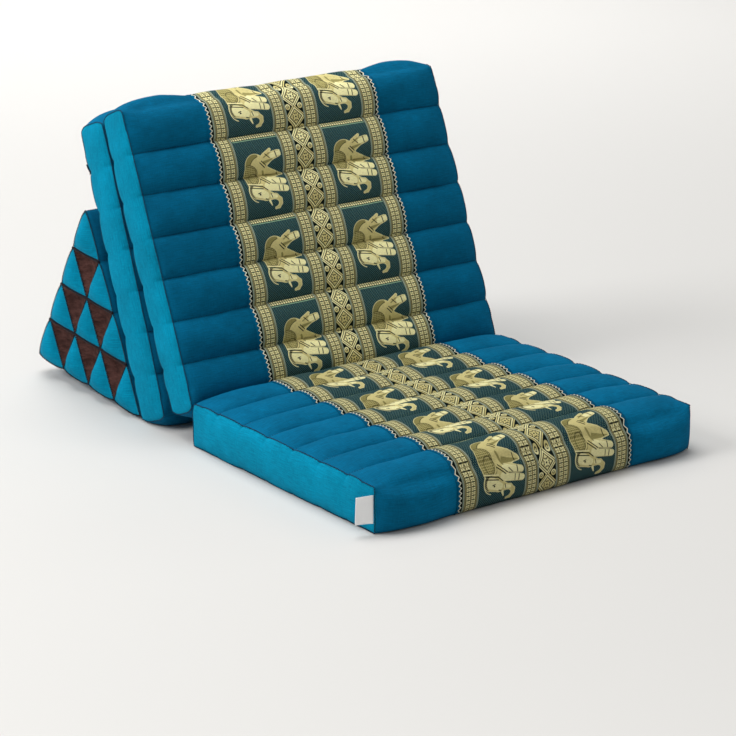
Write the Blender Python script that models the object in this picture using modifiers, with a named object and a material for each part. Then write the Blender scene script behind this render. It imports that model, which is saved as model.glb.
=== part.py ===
# A three-fold triangle cushion, set up as a low chair: one mat on the floor as the seat, two mats
# folded up behind it as the back, and a triangular cushion behind them as the prop.
# X runs across the cushion, Y from the seat's front to the prop's rear edge, Z up from the floor.

import math

import bmesh
import bpy
from mathutils import Matrix, Vector

# Sizes in metres
WIDTH = 0.536
HALF_WIDTH = WIDTH / 2
MAT_LENGTH = 0.416
CHANNELS = 7
CHANNEL_RISE = 0.009      # how far a filled channel stands above its seams
MIDDLE_RISE = 0.003       # crown of the seams themselves, towards the middle of the width
SEAM_DIP = 0.002          # how far a seam is pulled in at the side strips
SIDE_RISE = 0.007         # bulge of the side strips
END_RISE = 0.020          # bulge of a mat's two ends
BAND_HOLD = 0.006         # how much of it the stiffer band holds back
HOLD_RAMP = 0.045         # width outside the band's edges over which its hold sets in
END_ROUND = 0.030         # length over which an end rounds off
END_PINCH = 0.45          # share of the thickness that the rounding takes from an end's middle
LYING_PINCH = 0.10        # the same where the end's edge lies on the floor

TRIANGLE_ROWS = 4
ROW_RISE = 0.008          # how far a row of the triangle stands above its seams
ROW_SCALLOP = 0.004       # the same at the edge of the end panel
CORNER_PULL = 0.004       # rounding of the triangle's three long edges
PATCH_RISE = 0.007        # bulge of a patch that points up
PATCH_SINK = 0.002        # hollow of a patch that points down

BAND_LEFT = -0.146
BAND_RIGHT = 0.153
CLOTH_THICK = 0.0010
CLOTH_GAP = 0.0004        # between a band or label and the cushion under it
PRESS_GAP = 0.0019        # from a cushion's skin to the plane where it presses on its neighbour
HINGE_THICK = 0.0030      # folded seam allowances that hinge two cushions
HINGE_DEPTH = 0.009
HINGE_LENGTH = 0.500

LABEL_WIDTH = 0.024       # how far the label stands out from the corner seam that holds it
LABEL_HEIGHT = 0.038
LABEL_BOTTOM = 0.0145     # above the floor
LABEL_TURNS = (42.0, 12.0)  # how far its lower and its upper edge bend back, in degrees

ORIGIN_TO_FRONT = 0.205   # from the middle of the seat, where the origin is, to the side view's zero
TINY = 1e-6               # two places closer than this are the same
SHARE_SLACK = 1e-3        # the same for the triangle's shares

# Where each mat lies, seen from the side. Face 1 looks up or to the front, face -1 down or to the
# rear. The corner is where the foot end meets face 1, and the tilt is in degrees from lying flat.
# An edge is named by its end and its face.
MATS = {
    "seat": {
        "corner": (-0.003, 0.063),
        "tilt": 0.0,
        "thick": 0.062,
        "hinged": [("head", 1)],
        "lying": [("foot", -1), ("head", -1)],
    },
    "front": {
        "corner": (0.4145, 0.057),
        "tilt": 67.1,
        "thick": 0.056,
        "hinged": [("foot", 1), ("head", -1)],
        "lying": [],
    },
    "rear": {
        "corner": (0.4881, 0.0237),
        "tilt": 70.1,
        "thick": 0.063,
        "hinged": [("foot", -1), ("head", 1)],
        "lying": [],
    },
}
# Long edges of the triangle, seen from the side
TRIANGLE_CORNERS = {"front": (0.552, 0.006), "top": (0.685, 0.279), "rear": (0.836, 0.028)}
# Crown of the long face that lies opposite each of those edges
TRIANGLE_CROWNS = {"front": 0.007, "top": 0.014, "rear": 0.005}

# Planes where two neighbours press on each other: a point on the hinge line, the way that the
# hinge's seam allowance runs from it, both seen from the side, and where on it the strip starts.
HINGES = {
    "seat_hinge": {"at": (0.4111, 0.0615), "run": (0.35, -0.94), "start": 0.0085},
    "top_hinge": {"at": (0.6297, 0.4178), "run": (-0.361, -0.932), "start": 0.0},
    "base_hinge": {"at": (0.5497, 0.0040), "run": (0.40, 0.9165), "start": 0.0005},
}

# Stations, as shares: across half the width outside the band, and along one channel
SIDE_SHARES = (1.0, 0.95, 0.86, 0.71)
CHANNEL_SHARES = (0.0, 0.16, 0.5, 0.84)
END_CHANNEL_SHARES = (0.0, 0.07, 0.25, 0.55, 0.84)
LEVELS = (-1.0, -0.55, 0.0, 0.55, 1.0)
BAND_PARTS = 4
ROW_PARTS = 4
LABEL_PARTS = 4

COLOURS = {
    "plain_cotton": (0.012, 0.165, 0.290),
    "side_cotton": (0.010, 0.240, 0.380),
    "brocade": (0.330, 0.290, 0.130),
    "seam_tape": (0.006, 0.060, 0.110),
    "blank_label": (0.800, 0.800, 0.780),
}


# Stations

def across_stations():
    left = [-share * HALF_WIDTH for share in SIDE_SHARES]
    right = [share * HALF_WIDTH for share in reversed(SIDE_SHARES)]
    return left + band_across_stations() + right


def band_across_stations():
    step = (BAND_RIGHT - BAND_LEFT) / BAND_PARTS
    return [BAND_LEFT + step * part for part in range(BAND_PARTS + 1)]


def along_stations():
    channel = MAT_LENGTH / CHANNELS
    first = [share * channel for share in END_CHANNEL_SHARES]
    inner = [(row + share) * channel for row in range(1, CHANNELS - 1) for share in CHANNEL_SHARES]
    last = [MAT_LENGTH - place for place in reversed(first)]
    return first + inner + [MAT_LENGTH - channel] + last


# Shape of a mat, in its own frame: across, along, and up from its middle plane

def side_fade(across):
    return math.sqrt(max(0.0, 1.0 - abs(across / HALF_WIDTH) ** 6))


def end_bulge(across):
    """How far an end's middle height stands out: full at the shoulders, less under the band."""
    fade = math.sqrt(max(0.0, 1.0 - abs(across / HALF_WIDTH) ** 10))
    inside = min(across - BAND_LEFT, BAND_RIGHT - across)
    hold = min(max(1.0 + inside / HOLD_RAMP, 0.0), 1.0)
    return fade * (END_RISE - BAND_HOLD * hold)


def channel_profile(share):
    return max(0.0, 1.0 - abs(2.0 * share - 1.0) ** 2.6) ** 0.6


def half_thickness(mat, across, along, face):
    """From the middle plane to one face: a hinged edge is a straight seam, a free one is rounded."""
    fade = side_fade(across)
    place = along / MAT_LENGTH * CHANNELS
    channel = min(int(place), CHANNELS - 1)
    share = place - channel
    edge = ("foot" if place < CHANNELS / 2 else "head", face)
    free = edge not in mat["hinged"]
    if free and channel == 0:
        share = max(share, 0.5)
    if free and channel == CHANNELS - 1:
        share = min(share, 0.5)
    rise = channel_profile(share)
    height = mat["thick"] / 2 - SEAM_DIP * (1.0 - rise) + fade * (MIDDLE_RISE + CHANNEL_RISE * rise)
    if not free:
        return height
    to_end = min(along, MAT_LENGTH - along) / END_ROUND
    rounding = math.sqrt(max(0.0, 1.0 - (1.0 - min(to_end, 1.0)) ** 2))
    left_over = 1.0 - fade * (LYING_PINCH if edge in mat["lying"] else END_PINCH)
    return height * (left_over + (1.0 - left_over) * rounding)


def mat_point(mat, across, along, level):
    """Level runs from -1 on the lower or rear face to 1 on the upper or front face."""
    upper = half_thickness(mat, across, along, 1)
    lower = half_thickness(mat, across, along, -1)
    up = (1.0 + level) / 2.0 * upper - (1.0 - level) / 2.0 * lower
    belly = 1.0 - level ** 4
    out = across
    if abs(across) > HALF_WIDTH - TINY:
        ends = math.sin(math.pi * min(max(along / MAT_LENGTH, 0.0), 1.0)) ** 0.4
        out += math.copysign(SIDE_RISE * belly * ends, across)
    run = along
    if along < TINY:
        run -= belly * end_bulge(across)
    if along > MAT_LENGTH - TINY:
        run += belly * end_bulge(across)
    return Vector((out, run, up))


# Placing and pressing

def side_to_world(side_point):
    return Vector((0.0, side_point[0] - ORIGIN_TO_FRONT, side_point[1]))


def mat_matrix(mat):
    turn = Matrix.Rotation(math.radians(mat["tilt"]), 4, "X")
    to_middle = turn @ Vector((0.0, 0.0, -mat["thick"] / 2))
    return Matrix.Translation(side_to_world(mat["corner"]) + to_middle) @ turn


def press_plane(hinge_name, side):
    """The hinge's plane moved by the pressing gap towards one side: +1 the rear, -1 the front."""
    hinge = HINGES[hinge_name]
    run = Vector((0.0, hinge["run"][0], hinge["run"][1])).normalized()
    rearward = run.cross(Vector((1.0, 0.0, 0.0)))
    if rearward.y < 0.0:
        rearward = -rearward
    normal = rearward * side
    return side_to_world(hinge["at"]) + normal * PRESS_GAP, normal


FLOOR = (Vector((0.0, 0.0, 0.0)), Vector((0.0, 0.0, 1.0)))


def press(mesh_bm, matrix, planes):
    """Move each vertex that lies past a plane back onto it."""
    inverse = matrix.inverted()
    for point, normal in planes:
        at = inverse @ point
        facing = (inverse.to_3x3() @ normal).normalized()
        for vertex in mesh_bm.verts:
            past = (vertex.co - at).dot(facing)
            if past < 0.0:
                vertex.co -= facing * past


# Objects

def material(name):
    made = bpy.data.materials.new(name)
    made.use_nodes = True
    shader = made.node_tree.nodes["Principled BSDF"]
    shader.inputs["Base Color"].default_value = (*COLOURS[name], 1.0)
    shader.inputs["Roughness"].default_value = 0.85
    shader.inputs["Metallic"].default_value = 0.0
    made.diffuse_color = (*COLOURS[name], 1.0)
    return made


def add_object(name, mesh_bm, matrix, made, collection):
    bmesh.ops.recalc_face_normals(mesh_bm, faces=mesh_bm.faces[:])
    mesh = bpy.data.meshes.new(name)
    mesh_bm.to_mesh(mesh)
    mesh_bm.free()
    mesh.materials.append(made)
    mesh.shade_smooth()
    mesh.set_sharp_from_angle(angle=math.radians(50))
    made_object = bpy.data.objects.new(name, mesh)
    made_object.matrix_world = matrix
    collection.objects.link(made_object)
    return made_object


def loop_cut(mesh_bm, point, normal):
    everything = mesh_bm.verts[:] + mesh_bm.edges[:] + mesh_bm.faces[:]
    bmesh.ops.bisect_plane(mesh_bm, geom=everything, dist=TINY / 10, plane_co=point, plane_no=normal)


def build_mat(name, mat, planes, made, collection):
    """A box cut at every station, then each vertex moved to the filled shape."""
    mesh_bm = bmesh.new()
    bmesh.ops.create_cube(mesh_bm, size=2.0)
    for across in across_stations()[1:-1]:
        loop_cut(mesh_bm, (across / HALF_WIDTH, 0.0, 0.0), (1.0, 0.0, 0.0))
    for along in along_stations()[1:-1]:
        loop_cut(mesh_bm, (0.0, 2.0 * along / MAT_LENGTH - 1.0, 0.0), (0.0, 1.0, 0.0))
    for level in LEVELS[1:-1]:
        loop_cut(mesh_bm, (0.0, 0.0, level), (0.0, 0.0, 1.0))
    for vertex in mesh_bm.verts:
        across = vertex.co.x * HALF_WIDTH
        along = (vertex.co.y + 1.0) / 2.0 * MAT_LENGTH
        vertex.co = mat_point(mat, across, along, vertex.co.z)
    matrix = mat_matrix(mat)
    press(mesh_bm, matrix, planes)
    return add_object(name, mesh_bm, matrix, made, collection)


def band_path(near_levels, face_level, far_levels, start, end):
    """Stations along a band: over one end, along a face, and over the other end."""
    near = [(0.0, level) for level in near_levels]
    face = [(along, face_level) for along in along_stations() if start - TINY < along < end + TINY]
    far = [(MAT_LENGTH, level) for level in far_levels]
    return near + face + far


def sheet_grid(columns, rows, place):
    """A flat grid whose vertices are then placed by their column and row."""
    mesh_bm = bmesh.new()
    bmesh.ops.create_grid(mesh_bm, x_segments=columns - 1, y_segments=rows - 1, size=1.0)
    for vertex in mesh_bm.verts:
        column = round((vertex.co.x + 1.0) / 2.0 * (columns - 1))
        row = round((vertex.co.y + 1.0) / 2.0 * (rows - 1))
        vertex.co = place(column, row)
    return mesh_bm


def lift_off(mesh_bm, away_from):
    """Turn a sheet's faces away from the cushion under it, and move it off by the cloth's gap."""
    mesh_bm.normal_update()
    first = mesh_bm.faces[:][0]
    if (first.calc_center_median() - away_from).dot(first.normal) < 0.0:
        bmesh.ops.reverse_faces(mesh_bm, faces=mesh_bm.faces[:])
        mesh_bm.normal_update()
    moves = [(vertex, vertex.normal * CLOTH_GAP) for vertex in mesh_bm.verts]
    for vertex, move in moves:
        vertex.co += move


def add_sheet(name, mesh_bm, matrix, made, collection, offset):
    """Give a surface the cloth's thickness: outwards at offset 1, to both sides at 0."""
    mesh = bpy.data.meshes.new(name)
    mesh_bm.to_mesh(mesh)
    mesh_bm.free()
    mesh.materials.append(made)
    sheet = bpy.data.objects.new(name, mesh)
    sheet.matrix_world = matrix
    collection.objects.link(sheet)
    solidify = sheet.modifiers.new("cloth", "SOLIDIFY")
    solidify.thickness = CLOTH_THICK
    solidify.offset = offset
    solidify.use_even_offset = True
    return sheet


def build_band(name, mat, path, planes, made, collection):
    columns = band_across_stations()

    def place(column, row):
        along, level = path[row]
        return mat_point(mat, columns[column], along, level)

    mesh_bm = sheet_grid(len(columns), len(path), place)
    matrix = mat_matrix(mat)
    press(mesh_bm, matrix, planes)
    lift_off(mesh_bm, Vector((0.0, MAT_LENGTH / 2, 0.0)))
    return add_sheet(name, mesh_bm, matrix, made, collection, offset=1.0)


def build_label(name, mat, made, collection):
    """A blank label caught in the seat's front left corner seam, standing out and bent back."""
    middle = mat["corner"][1] - mat["thick"] / 2

    def place(column, row):
        out = CLOTH_THICK + LABEL_WIDTH * column / LABEL_PARTS
        share = row / LABEL_PARTS
        turn = math.radians(LABEL_TURNS[0] + (LABEL_TURNS[1] - LABEL_TURNS[0]) * share)
        up = LABEL_BOTTOM + LABEL_HEIGHT * share - middle
        return Vector((-HALF_WIDTH - out * math.cos(turn), out * math.sin(turn), up))

    mesh_bm = sheet_grid(LABEL_PARTS + 1, LABEL_PARTS + 1, place)
    return add_sheet(name, mesh_bm, mat_matrix(mat), made, collection, offset=0.0)


def build_hinge(name, made, collection):
    """The narrow strip of seam allowances that joins two long edges."""
    hinge = HINGES[name]
    run = Vector((0.0, hinge["run"][0], hinge["run"][1])).normalized()
    across = Vector((1.0, 0.0, 0.0))
    facing = run.cross(across)
    middle = side_to_world(hinge["at"]) + run * (hinge["start"] + HINGE_DEPTH / 2)
    mesh_bm = bmesh.new()
    bmesh.ops.create_cube(mesh_bm, size=1.0)
    bmesh.ops.scale(mesh_bm, vec=(HINGE_LENGTH, HINGE_DEPTH, HINGE_THICK), verts=mesh_bm.verts[:])
    turn = Matrix((across, run, across.cross(run))).transposed().to_4x4()
    return add_object(name, mesh_bm, Matrix.Translation(middle) @ turn, made, collection)


# The triangle

def section_shares(side_point, corners):
    """How much of each corner a point of the section holds: three shares that add up to one."""
    first, second, third = corners
    whole = (second - first).cross(third - first)
    return (
        (second - side_point).cross(third - side_point) / whole,
        (third - side_point).cross(first - side_point) / whole,
        (first - side_point).cross(second - side_point) / whole,
    )


def patch_push(shares):
    """Outward push of a point on an end panel, from the patch that it lies in."""
    scaled = [share * TRIANGLE_ROWS for share in shares]
    whole = [math.floor(value + SHARE_SLACK / 10) for value in scaled]
    rest = [value - floor for value, floor in zip(scaled, whole)]
    if min(rest) < SHARE_SLACK:
        return 0.0
    if sum(whole) == TRIANGLE_ROWS - 1:
        return PATCH_RISE * 27.0 * rest[0] * rest[1] * rest[2]
    return -PATCH_SINK * 27.0 * (1.0 - rest[0]) * (1.0 - rest[1]) * (1.0 - rest[2])


def build_triangle(name, planes, made, collection):
    """A three-sided prism cut by planes parallel to its faces, then filled out row by row."""
    keys = list(TRIANGLE_CORNERS)
    corners = [Vector(TRIANGLE_CORNERS[key]) for key in keys]
    middle = sum(corners, Vector((0.0, 0.0))) / 3
    mesh_bm = bmesh.new()
    bmesh.ops.create_cone(mesh_bm, cap_ends=True, segments=3, radius1=1.0, radius2=1.0, depth=2.0)
    for vertex in mesh_bm.verts:
        turn = math.atan2(vertex.co.y, vertex.co.x) / math.tau
        corner = corners[round(turn * 3) % 3]
        vertex.co = Vector((vertex.co.z * HALF_WIDTH, corner.x, corner.y))
    for across in across_stations()[1:-1]:
        loop_cut(mesh_bm, (across, 0.0, 0.0), (1.0, 0.0, 0.0))
    parts = TRIANGLE_ROWS * ROW_PARTS
    for index, corner in enumerate(corners):
        ahead = corners[(index + 1) % 3]
        behind = corners[(index + 2) % 3]
        along = behind - ahead
        for part in range(1, parts):
            at = ahead.lerp(corner, part / parts)
            loop_cut(mesh_bm, (0.0, at.x, at.y), (0.0, -along.y, along.x))
    for vertex in mesh_bm.verts:
        vertex.co = triangle_point(vertex.co, keys, corners, middle)
    matrix = Matrix.Translation(side_to_world((0.0, 0.0)))
    press(mesh_bm, matrix, planes)
    return add_object(name, mesh_bm, matrix, made, collection)


def triangle_point(point, keys, corners, middle):
    side_point = Vector((point.y, point.z))
    shares = section_shares(side_point, corners)
    on_face = [share < SHARE_SLACK / 100 for share in shares]
    fade = side_fade(point.x)
    out = point.x
    move = Vector((0.0, 0.0))
    if sum(on_face) == 2:
        move = (middle - side_point).normalized() * CORNER_PULL
    elif sum(on_face) == 1:
        index = on_face.index(True)
        ahead = corners[(index + 1) % 3]
        behind = corners[(index + 2) % 3]
        along = (behind - ahead).normalized()
        facing = Vector((-along.y, along.x))
        if facing.dot(ahead - middle) < 0.0:
            facing = -facing
        place = shares[(index + 2) % 3]
        row = place * TRIANGLE_ROWS
        rise = channel_profile(row - math.floor(row))
        crown = TRIANGLE_CROWNS[keys[index]] * math.sin(math.pi * place)
        move = facing * (fade * (crown + (ROW_RISE - ROW_SCALLOP) * rise) + ROW_SCALLOP * rise)
    elif abs(point.x) > HALF_WIDTH - TINY:
        out += math.copysign(1.0, point.x) * patch_push(shares)
    return Vector((out, point.y + move.x, point.z + move.y))


def main():
    for old in list(bpy.data.objects):
        bpy.data.objects.remove(old, do_unlink=True)
    collection = bpy.data.collections.new("triangle_cushion_set")
    bpy.context.scene.collection.children.link(collection)
    finish = {name: material(name) for name in COLOURS}

    seat_planes = [FLOOR, press_plane("seat_hinge", -1)]
    front_planes = [press_plane("seat_hinge", 1), press_plane("top_hinge", -1)]
    rear_planes = [FLOOR, press_plane("top_hinge", 1), press_plane("base_hinge", -1)]
    triangle_planes = [FLOOR, press_plane("base_hinge", 1)]

    build_mat("seat_mat", MATS["seat"], seat_planes, finish["plain_cotton"], collection)
    build_mat("front_mat", MATS["front"], front_planes, finish["plain_cotton"], collection)
    build_mat("rear_mat", MATS["rear"], rear_planes, finish["plain_cotton"], collection)
    build_triangle("triangle_cushion", triangle_planes, finish["side_cotton"], collection)

    whole = (0.0, MAT_LENGTH)
    seat_path = band_path(LEVELS[1:-1], 1.0, (), *whole)
    front_path = band_path((), 1.0, LEVELS[-2:0:-1], *whole)
    rear_path = band_path((), -1.0, LEVELS[1:-1], HINGE_DEPTH + 0.005, MAT_LENGTH)
    build_band("seat_band", MATS["seat"], seat_path, seat_planes, finish["brocade"], collection)
    build_band("front_band", MATS["front"], front_path, front_planes, finish["brocade"], collection)
    build_band("rear_band", MATS["rear"], rear_path, rear_planes, finish["brocade"], collection)

    for name in HINGES:
        build_hinge(name, finish["seam_tape"], collection)
    build_label("label", MATS["seat"], finish["blank_label"], collection)


main()
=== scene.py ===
import math

import bmesh
import bpy
import numpy as np
from mathutils import Matrix, Vector, noise
from mathutils.bvhtree import BVHTree


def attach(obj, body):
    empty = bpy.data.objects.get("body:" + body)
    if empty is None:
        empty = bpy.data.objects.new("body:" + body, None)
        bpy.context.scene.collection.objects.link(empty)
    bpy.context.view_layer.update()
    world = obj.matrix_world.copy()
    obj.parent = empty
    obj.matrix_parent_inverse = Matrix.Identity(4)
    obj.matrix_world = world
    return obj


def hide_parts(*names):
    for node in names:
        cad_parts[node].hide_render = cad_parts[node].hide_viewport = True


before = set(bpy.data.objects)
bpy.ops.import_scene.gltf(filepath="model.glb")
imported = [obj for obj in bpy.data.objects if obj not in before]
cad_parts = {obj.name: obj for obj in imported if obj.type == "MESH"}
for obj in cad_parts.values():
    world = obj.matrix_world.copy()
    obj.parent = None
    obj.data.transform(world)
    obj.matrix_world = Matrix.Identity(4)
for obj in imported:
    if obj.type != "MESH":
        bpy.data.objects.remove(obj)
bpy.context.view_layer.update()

# A three-fold triangle cushion: the seat mat on the floor, two mats folded up behind it and a
# triangle as the prop. X runs across, Y from the seat's front to the prop's rear edge, Z up.

mm = 0.001
tiny = 1e-6
matLength = 0.416
matChannels = 7


# Camera, floor and light

camera = {
    "place": (-2.11718, -2.69945, 1.21213),
    "turnRight": 36.451,   # degrees from +Y
    "lookDown": 17.742,
    "roll": -0.143,
    "focalPixels": 2646.43,
    "imagePixels": 736,
    "sensor": 36.0,
}


def makeCamera():
    data = bpy.data.cameras.new("photoCamera")
    data.sensor_width = camera["sensor"]
    data.lens = camera["focalPixels"] / camera["imagePixels"] * camera["sensor"]
    piece = bpy.data.objects.new("photoCamera", data)
    turn = Matrix.Rotation(-math.radians(camera["turnRight"]), 4, "Z")
    tilt = Matrix.Rotation(math.radians(90.0 - camera["lookDown"]), 4, "X")
    roll = Matrix.Rotation(math.radians(camera["roll"]), 4, "Z")
    piece.matrix_world = Matrix.Translation(camera["place"]) @ turn @ tilt @ roll
    bpy.context.scene.collection.objects.link(piece)
    bpy.context.scene.camera = piece


studio = {
    "floorColor": (0.64, 0.63, 0.61, 1.0),
    "floorReach": 14.0,
    "floorDrop": 0.4 * mm,     # keeps the floor clear of the cloth that lies on it
    "worldColor": (1.0, 0.99, 0.97, 1.0),
    "worldStrength": 0.25,
    "lamps": {
        "keyLamp": {"place": (-3.6, 1.5, 2.7), "aim": (0.0, 0.25, 0.15), "size": 2.2, "power": 118.0},
        "topLamp": {"place": (-0.3, 0.7, 3.4), "aim": (0.0, 0.1, 0.0), "size": 2.4, "power": 92.0},
        "frontLamp": {"place": (-1.6, -3.2, 1.8), "aim": (0.0, 0.2, 0.2), "size": 2.4, "power": 3.0},
    },
    # these light the floor behind the object, whichever side it is seen from
    "farLamps": {"away": 3.9, "aim": 5.85, "height": 3.0, "size": 3.2, "power": 150.0,
                 "turns": (26, 116, 206, 296)},
}


def makeStudio():
    reach = studio["floorReach"]
    work = bmesh.new()
    bmesh.ops.create_grid(work, x_segments=8, y_segments=8, size=reach)
    mesh = bpy.data.meshes.new("floor")
    work.to_mesh(mesh)
    work.free()
    mesh.transform(Matrix.Translation((0.0, 0.0, -studio["floorDrop"])))
    floor = bpy.data.objects.new("floor", mesh)
    bpy.context.scene.collection.objects.link(floor)
    floorPaint = bpy.data.materials.new("paleFloor")
    floorPaint.use_nodes = True
    shader = floorPaint.node_tree.nodes["Principled BSDF"]
    shader.inputs["Base Color"].default_value = studio["floorColor"]
    shader.inputs["Roughness"].default_value = 0.6
    mesh.materials.append(floorPaint)
    world = bpy.data.worlds.new("paleRoom")
    world.use_nodes = True
    background = world.node_tree.nodes["Background"]
    background.inputs[0].default_value = studio["worldColor"]
    background.inputs[1].default_value = studio["worldStrength"]
    bpy.context.scene.world = world
    lamps = dict(studio["lamps"])
    far = studio["farLamps"]
    for degrees in far["turns"]:
        turn = math.radians(degrees)
        way = Vector((math.sin(turn), math.cos(turn), 0.0))
        place = way * far["away"]
        place.z = far["height"]
        lamps[f"farLamp{degrees}"] = {**far, "place": place, "aim": way * far["aim"]}
    for name, lamp in lamps.items():
        data = bpy.data.lights.new(name, "AREA")
        data.size = lamp["size"]
        data.energy = lamp["power"]
        piece = bpy.data.objects.new(name, data)
        away = Vector(lamp["place"]) - Vector(lamp["aim"])
        tilt = away.to_track_quat("Z", "Y").to_matrix().to_4x4()
        piece.matrix_world = Matrix.Translation(lamp["place"]) @ tilt
        bpy.context.scene.collection.objects.link(piece)
    bpy.context.scene.view_settings.view_transform = "Standard"


# Small helpers for node trees: a socket is linked, anything else is set

def put(tree, kind, *inputs, output=0, **settings):
    node = tree.nodes.new(kind)
    for name, value in settings.items():
        setattr(node, name, value)
    for index, value in enumerate(inputs):
        if isinstance(value, bpy.types.NodeSocket):
            tree.links.new(value, node.inputs[index])
        elif value is not None:
            node.inputs[index].default_value = value
    return node.outputs[output]


def calc(tree, operation, first, second=None, third=None, clamp=False):
    return put(tree, "ShaderNodeMath", first, second, third, operation=operation, use_clamp=clamp)


def vectorCalc(tree, operation, first, second=None, third=None):
    output = 1 if operation in ("DOT_PRODUCT", "DISTANCE", "LENGTH") else 0
    return put(tree, "ShaderNodeVectorMath", first, second, third, output=output, operation=operation)


def ramp(tree, value, low, high, toLow=0.0, toHigh=1.0):
    return put(tree, "ShaderNodeMapRange", value, low, high, toLow, toHigh)


def times(tree, vector, factor):
    # a colour or a vector, times a number that varies
    scaled = vectorCalc(tree, "SCALE", vector)
    tree.links.new(factor, scaled.node.inputs["Scale"])
    return scaled


def noiseAt(tree, place, scale, detail, roughness, stretch=None, turn=None):
    if stretch:
        place = put(tree, "ShaderNodeMapping", place, None, turn, stretch)
    return put(tree, "ShaderNodeTexNoise", place, None, scale, detail, roughness)


def uneven(tree, pattern, amount):
    # a noise as a factor around one
    return ramp(tree, pattern, 0.3, 0.7, 1.0 - amount, 1.0 + amount)


def bumped(tree, height, strength, distance, normal=None):
    return put(tree, "ShaderNodeBump", strength, distance, None, height, normal)


def addInputs(tree, kinds):
    for name, kind in kinds.items():
        tree.interface.new_socket(name, in_out="INPUT", socket_type="NodeSocket" + kind)


def mixColor(tree, share, first, second, blend="MIX"):
    node = tree.nodes.new("ShaderNodeMix")
    node.data_type = "RGBA"
    node.blend_type = blend
    for socket, value in ((node.inputs[0], share), (node.inputs[6], first), (node.inputs[7], second)):
        if isinstance(value, bpy.types.NodeSocket):
            tree.links.new(value, socket)
        else:
            socket.default_value = value
    return node.outputs[2]


def linear(red, green, blue):
    # a colour as seen on a screen, 0 to 255, in the shader's own units
    parts = []
    for value in (red, green, blue):
        share = value / 255.0
        parts.append(share / 12.92 if share <= 0.04045 else ((share + 0.055) / 1.055) ** 2.4)
    return (*parts, 1.0)


def newMaterial(name, roughness, sheen=0.0, specular=0.06):
    made = bpy.data.materials.new(name)
    made.use_nodes = True
    shader = made.node_tree.nodes["Principled BSDF"]
    shader.inputs["Roughness"].default_value = roughness
    shader.inputs["Sheen Weight"].default_value = sheen
    shader.inputs["Sheen Roughness"].default_value = 0.45
    shader.inputs["Specular IOR Level"].default_value = specular
    return made, made.node_tree, shader


def threadHeight(tree, uv, pitch):
    # a plain weave: warp and weft pass over each other in turn
    split = put(tree, "ShaderNodeSeparateXYZ", uv).node.outputs
    warp, weft = (calc(tree, "SINE", calc(tree, "MULTIPLY", split[axis], math.pi / pitch)) for axis in (0, 1))
    return calc(tree, "MULTIPLY", warp, weft)


# Plain cotton

cotton = {
    "face": linear(0, 93, 129),
    # the side strips and the triangle's teal patches: the face's cloth, painted lighter as painted light from
    # the left
    "side": linear(0, 124, 156),
    "brown": linear(70, 46, 42),
    "tape": linear(6, 74, 106),
    "dark": linear(12, 30, 40),
    "roughness": 0.88,
    "threadPitch": 0.9 * mm,
    "threadDepth": 0.25 * mm,
    "mottle": 0.16,
    "slub": 0.20,
    "slubStretch": (60.0, 900.0, 1.0),
    "crossStretch": (1300.0, 90.0, 1.0),
    "creaseDepth": 2.6 * mm,
    "crumpleDepth": 6.0 * mm,
}


def cottonMaterial(name, color, crumple=0.0):
    made, tree, shader = newMaterial(name, cotton["roughness"])
    uv = put(tree, "ShaderNodeUVMap", uv_map="cloth")
    place = put(tree, "ShaderNodeTexCoord", output=3)
    cloud = noiseAt(tree, place, 14.0, 4.0, 0.6)
    streak = noiseAt(tree, uv, 1.0, 2.0, 0.6, cotton["slubStretch"])
    crossStreak = noiseAt(tree, uv, 1.0, 1.0, 0.5, cotton["crossStretch"])
    mottled = uneven(tree, cloud, cotton["mottle"])
    shade = calc(tree, "MULTIPLY", mottled, uneven(tree, streak, cotton["slub"]))
    shade = calc(tree, "MULTIPLY", shade, uneven(tree, crossStreak, cotton["slub"] / 2))
    creaseStretch = (1.0, 1.0 + crumple, 1.0 + 3.0 * crumple)
    creases = noiseAt(tree, place, 30.0, 3.0, 0.5, creaseStretch, (0.5, 0.0, 0.0))
    if crumple:
        # the folds catch the light
        folded = ramp(tree, creases, 0.36, 0.66, 1.0 - 0.3 * crumple, 1.0 + 0.3 * crumple)
        shade = calc(tree, "MULTIPLY", shade, folded)
    tree.links.new(times(tree, color[:3], shade), shader.inputs["Base Color"])
    threads = threadHeight(tree, uv, cotton["threadPitch"])
    height = calc(tree, "MULTIPLY_ADD", streak, 1.2, calc(tree, "MULTIPLY", threads, 0.5))
    woven = bumped(tree, height, 0.35, cotton["threadDepth"])
    creaseDepth = cotton["creaseDepth"] + cotton["crumpleDepth"] * crumple
    creased = bumped(tree, creases, 0.5 + 0.5 * crumple, creaseDepth, woven)
    tree.links.new(creased, shader.inputs["Normal"])
    return made


# Brocade: the woven pattern, in millimetres across the band and up along it

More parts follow.
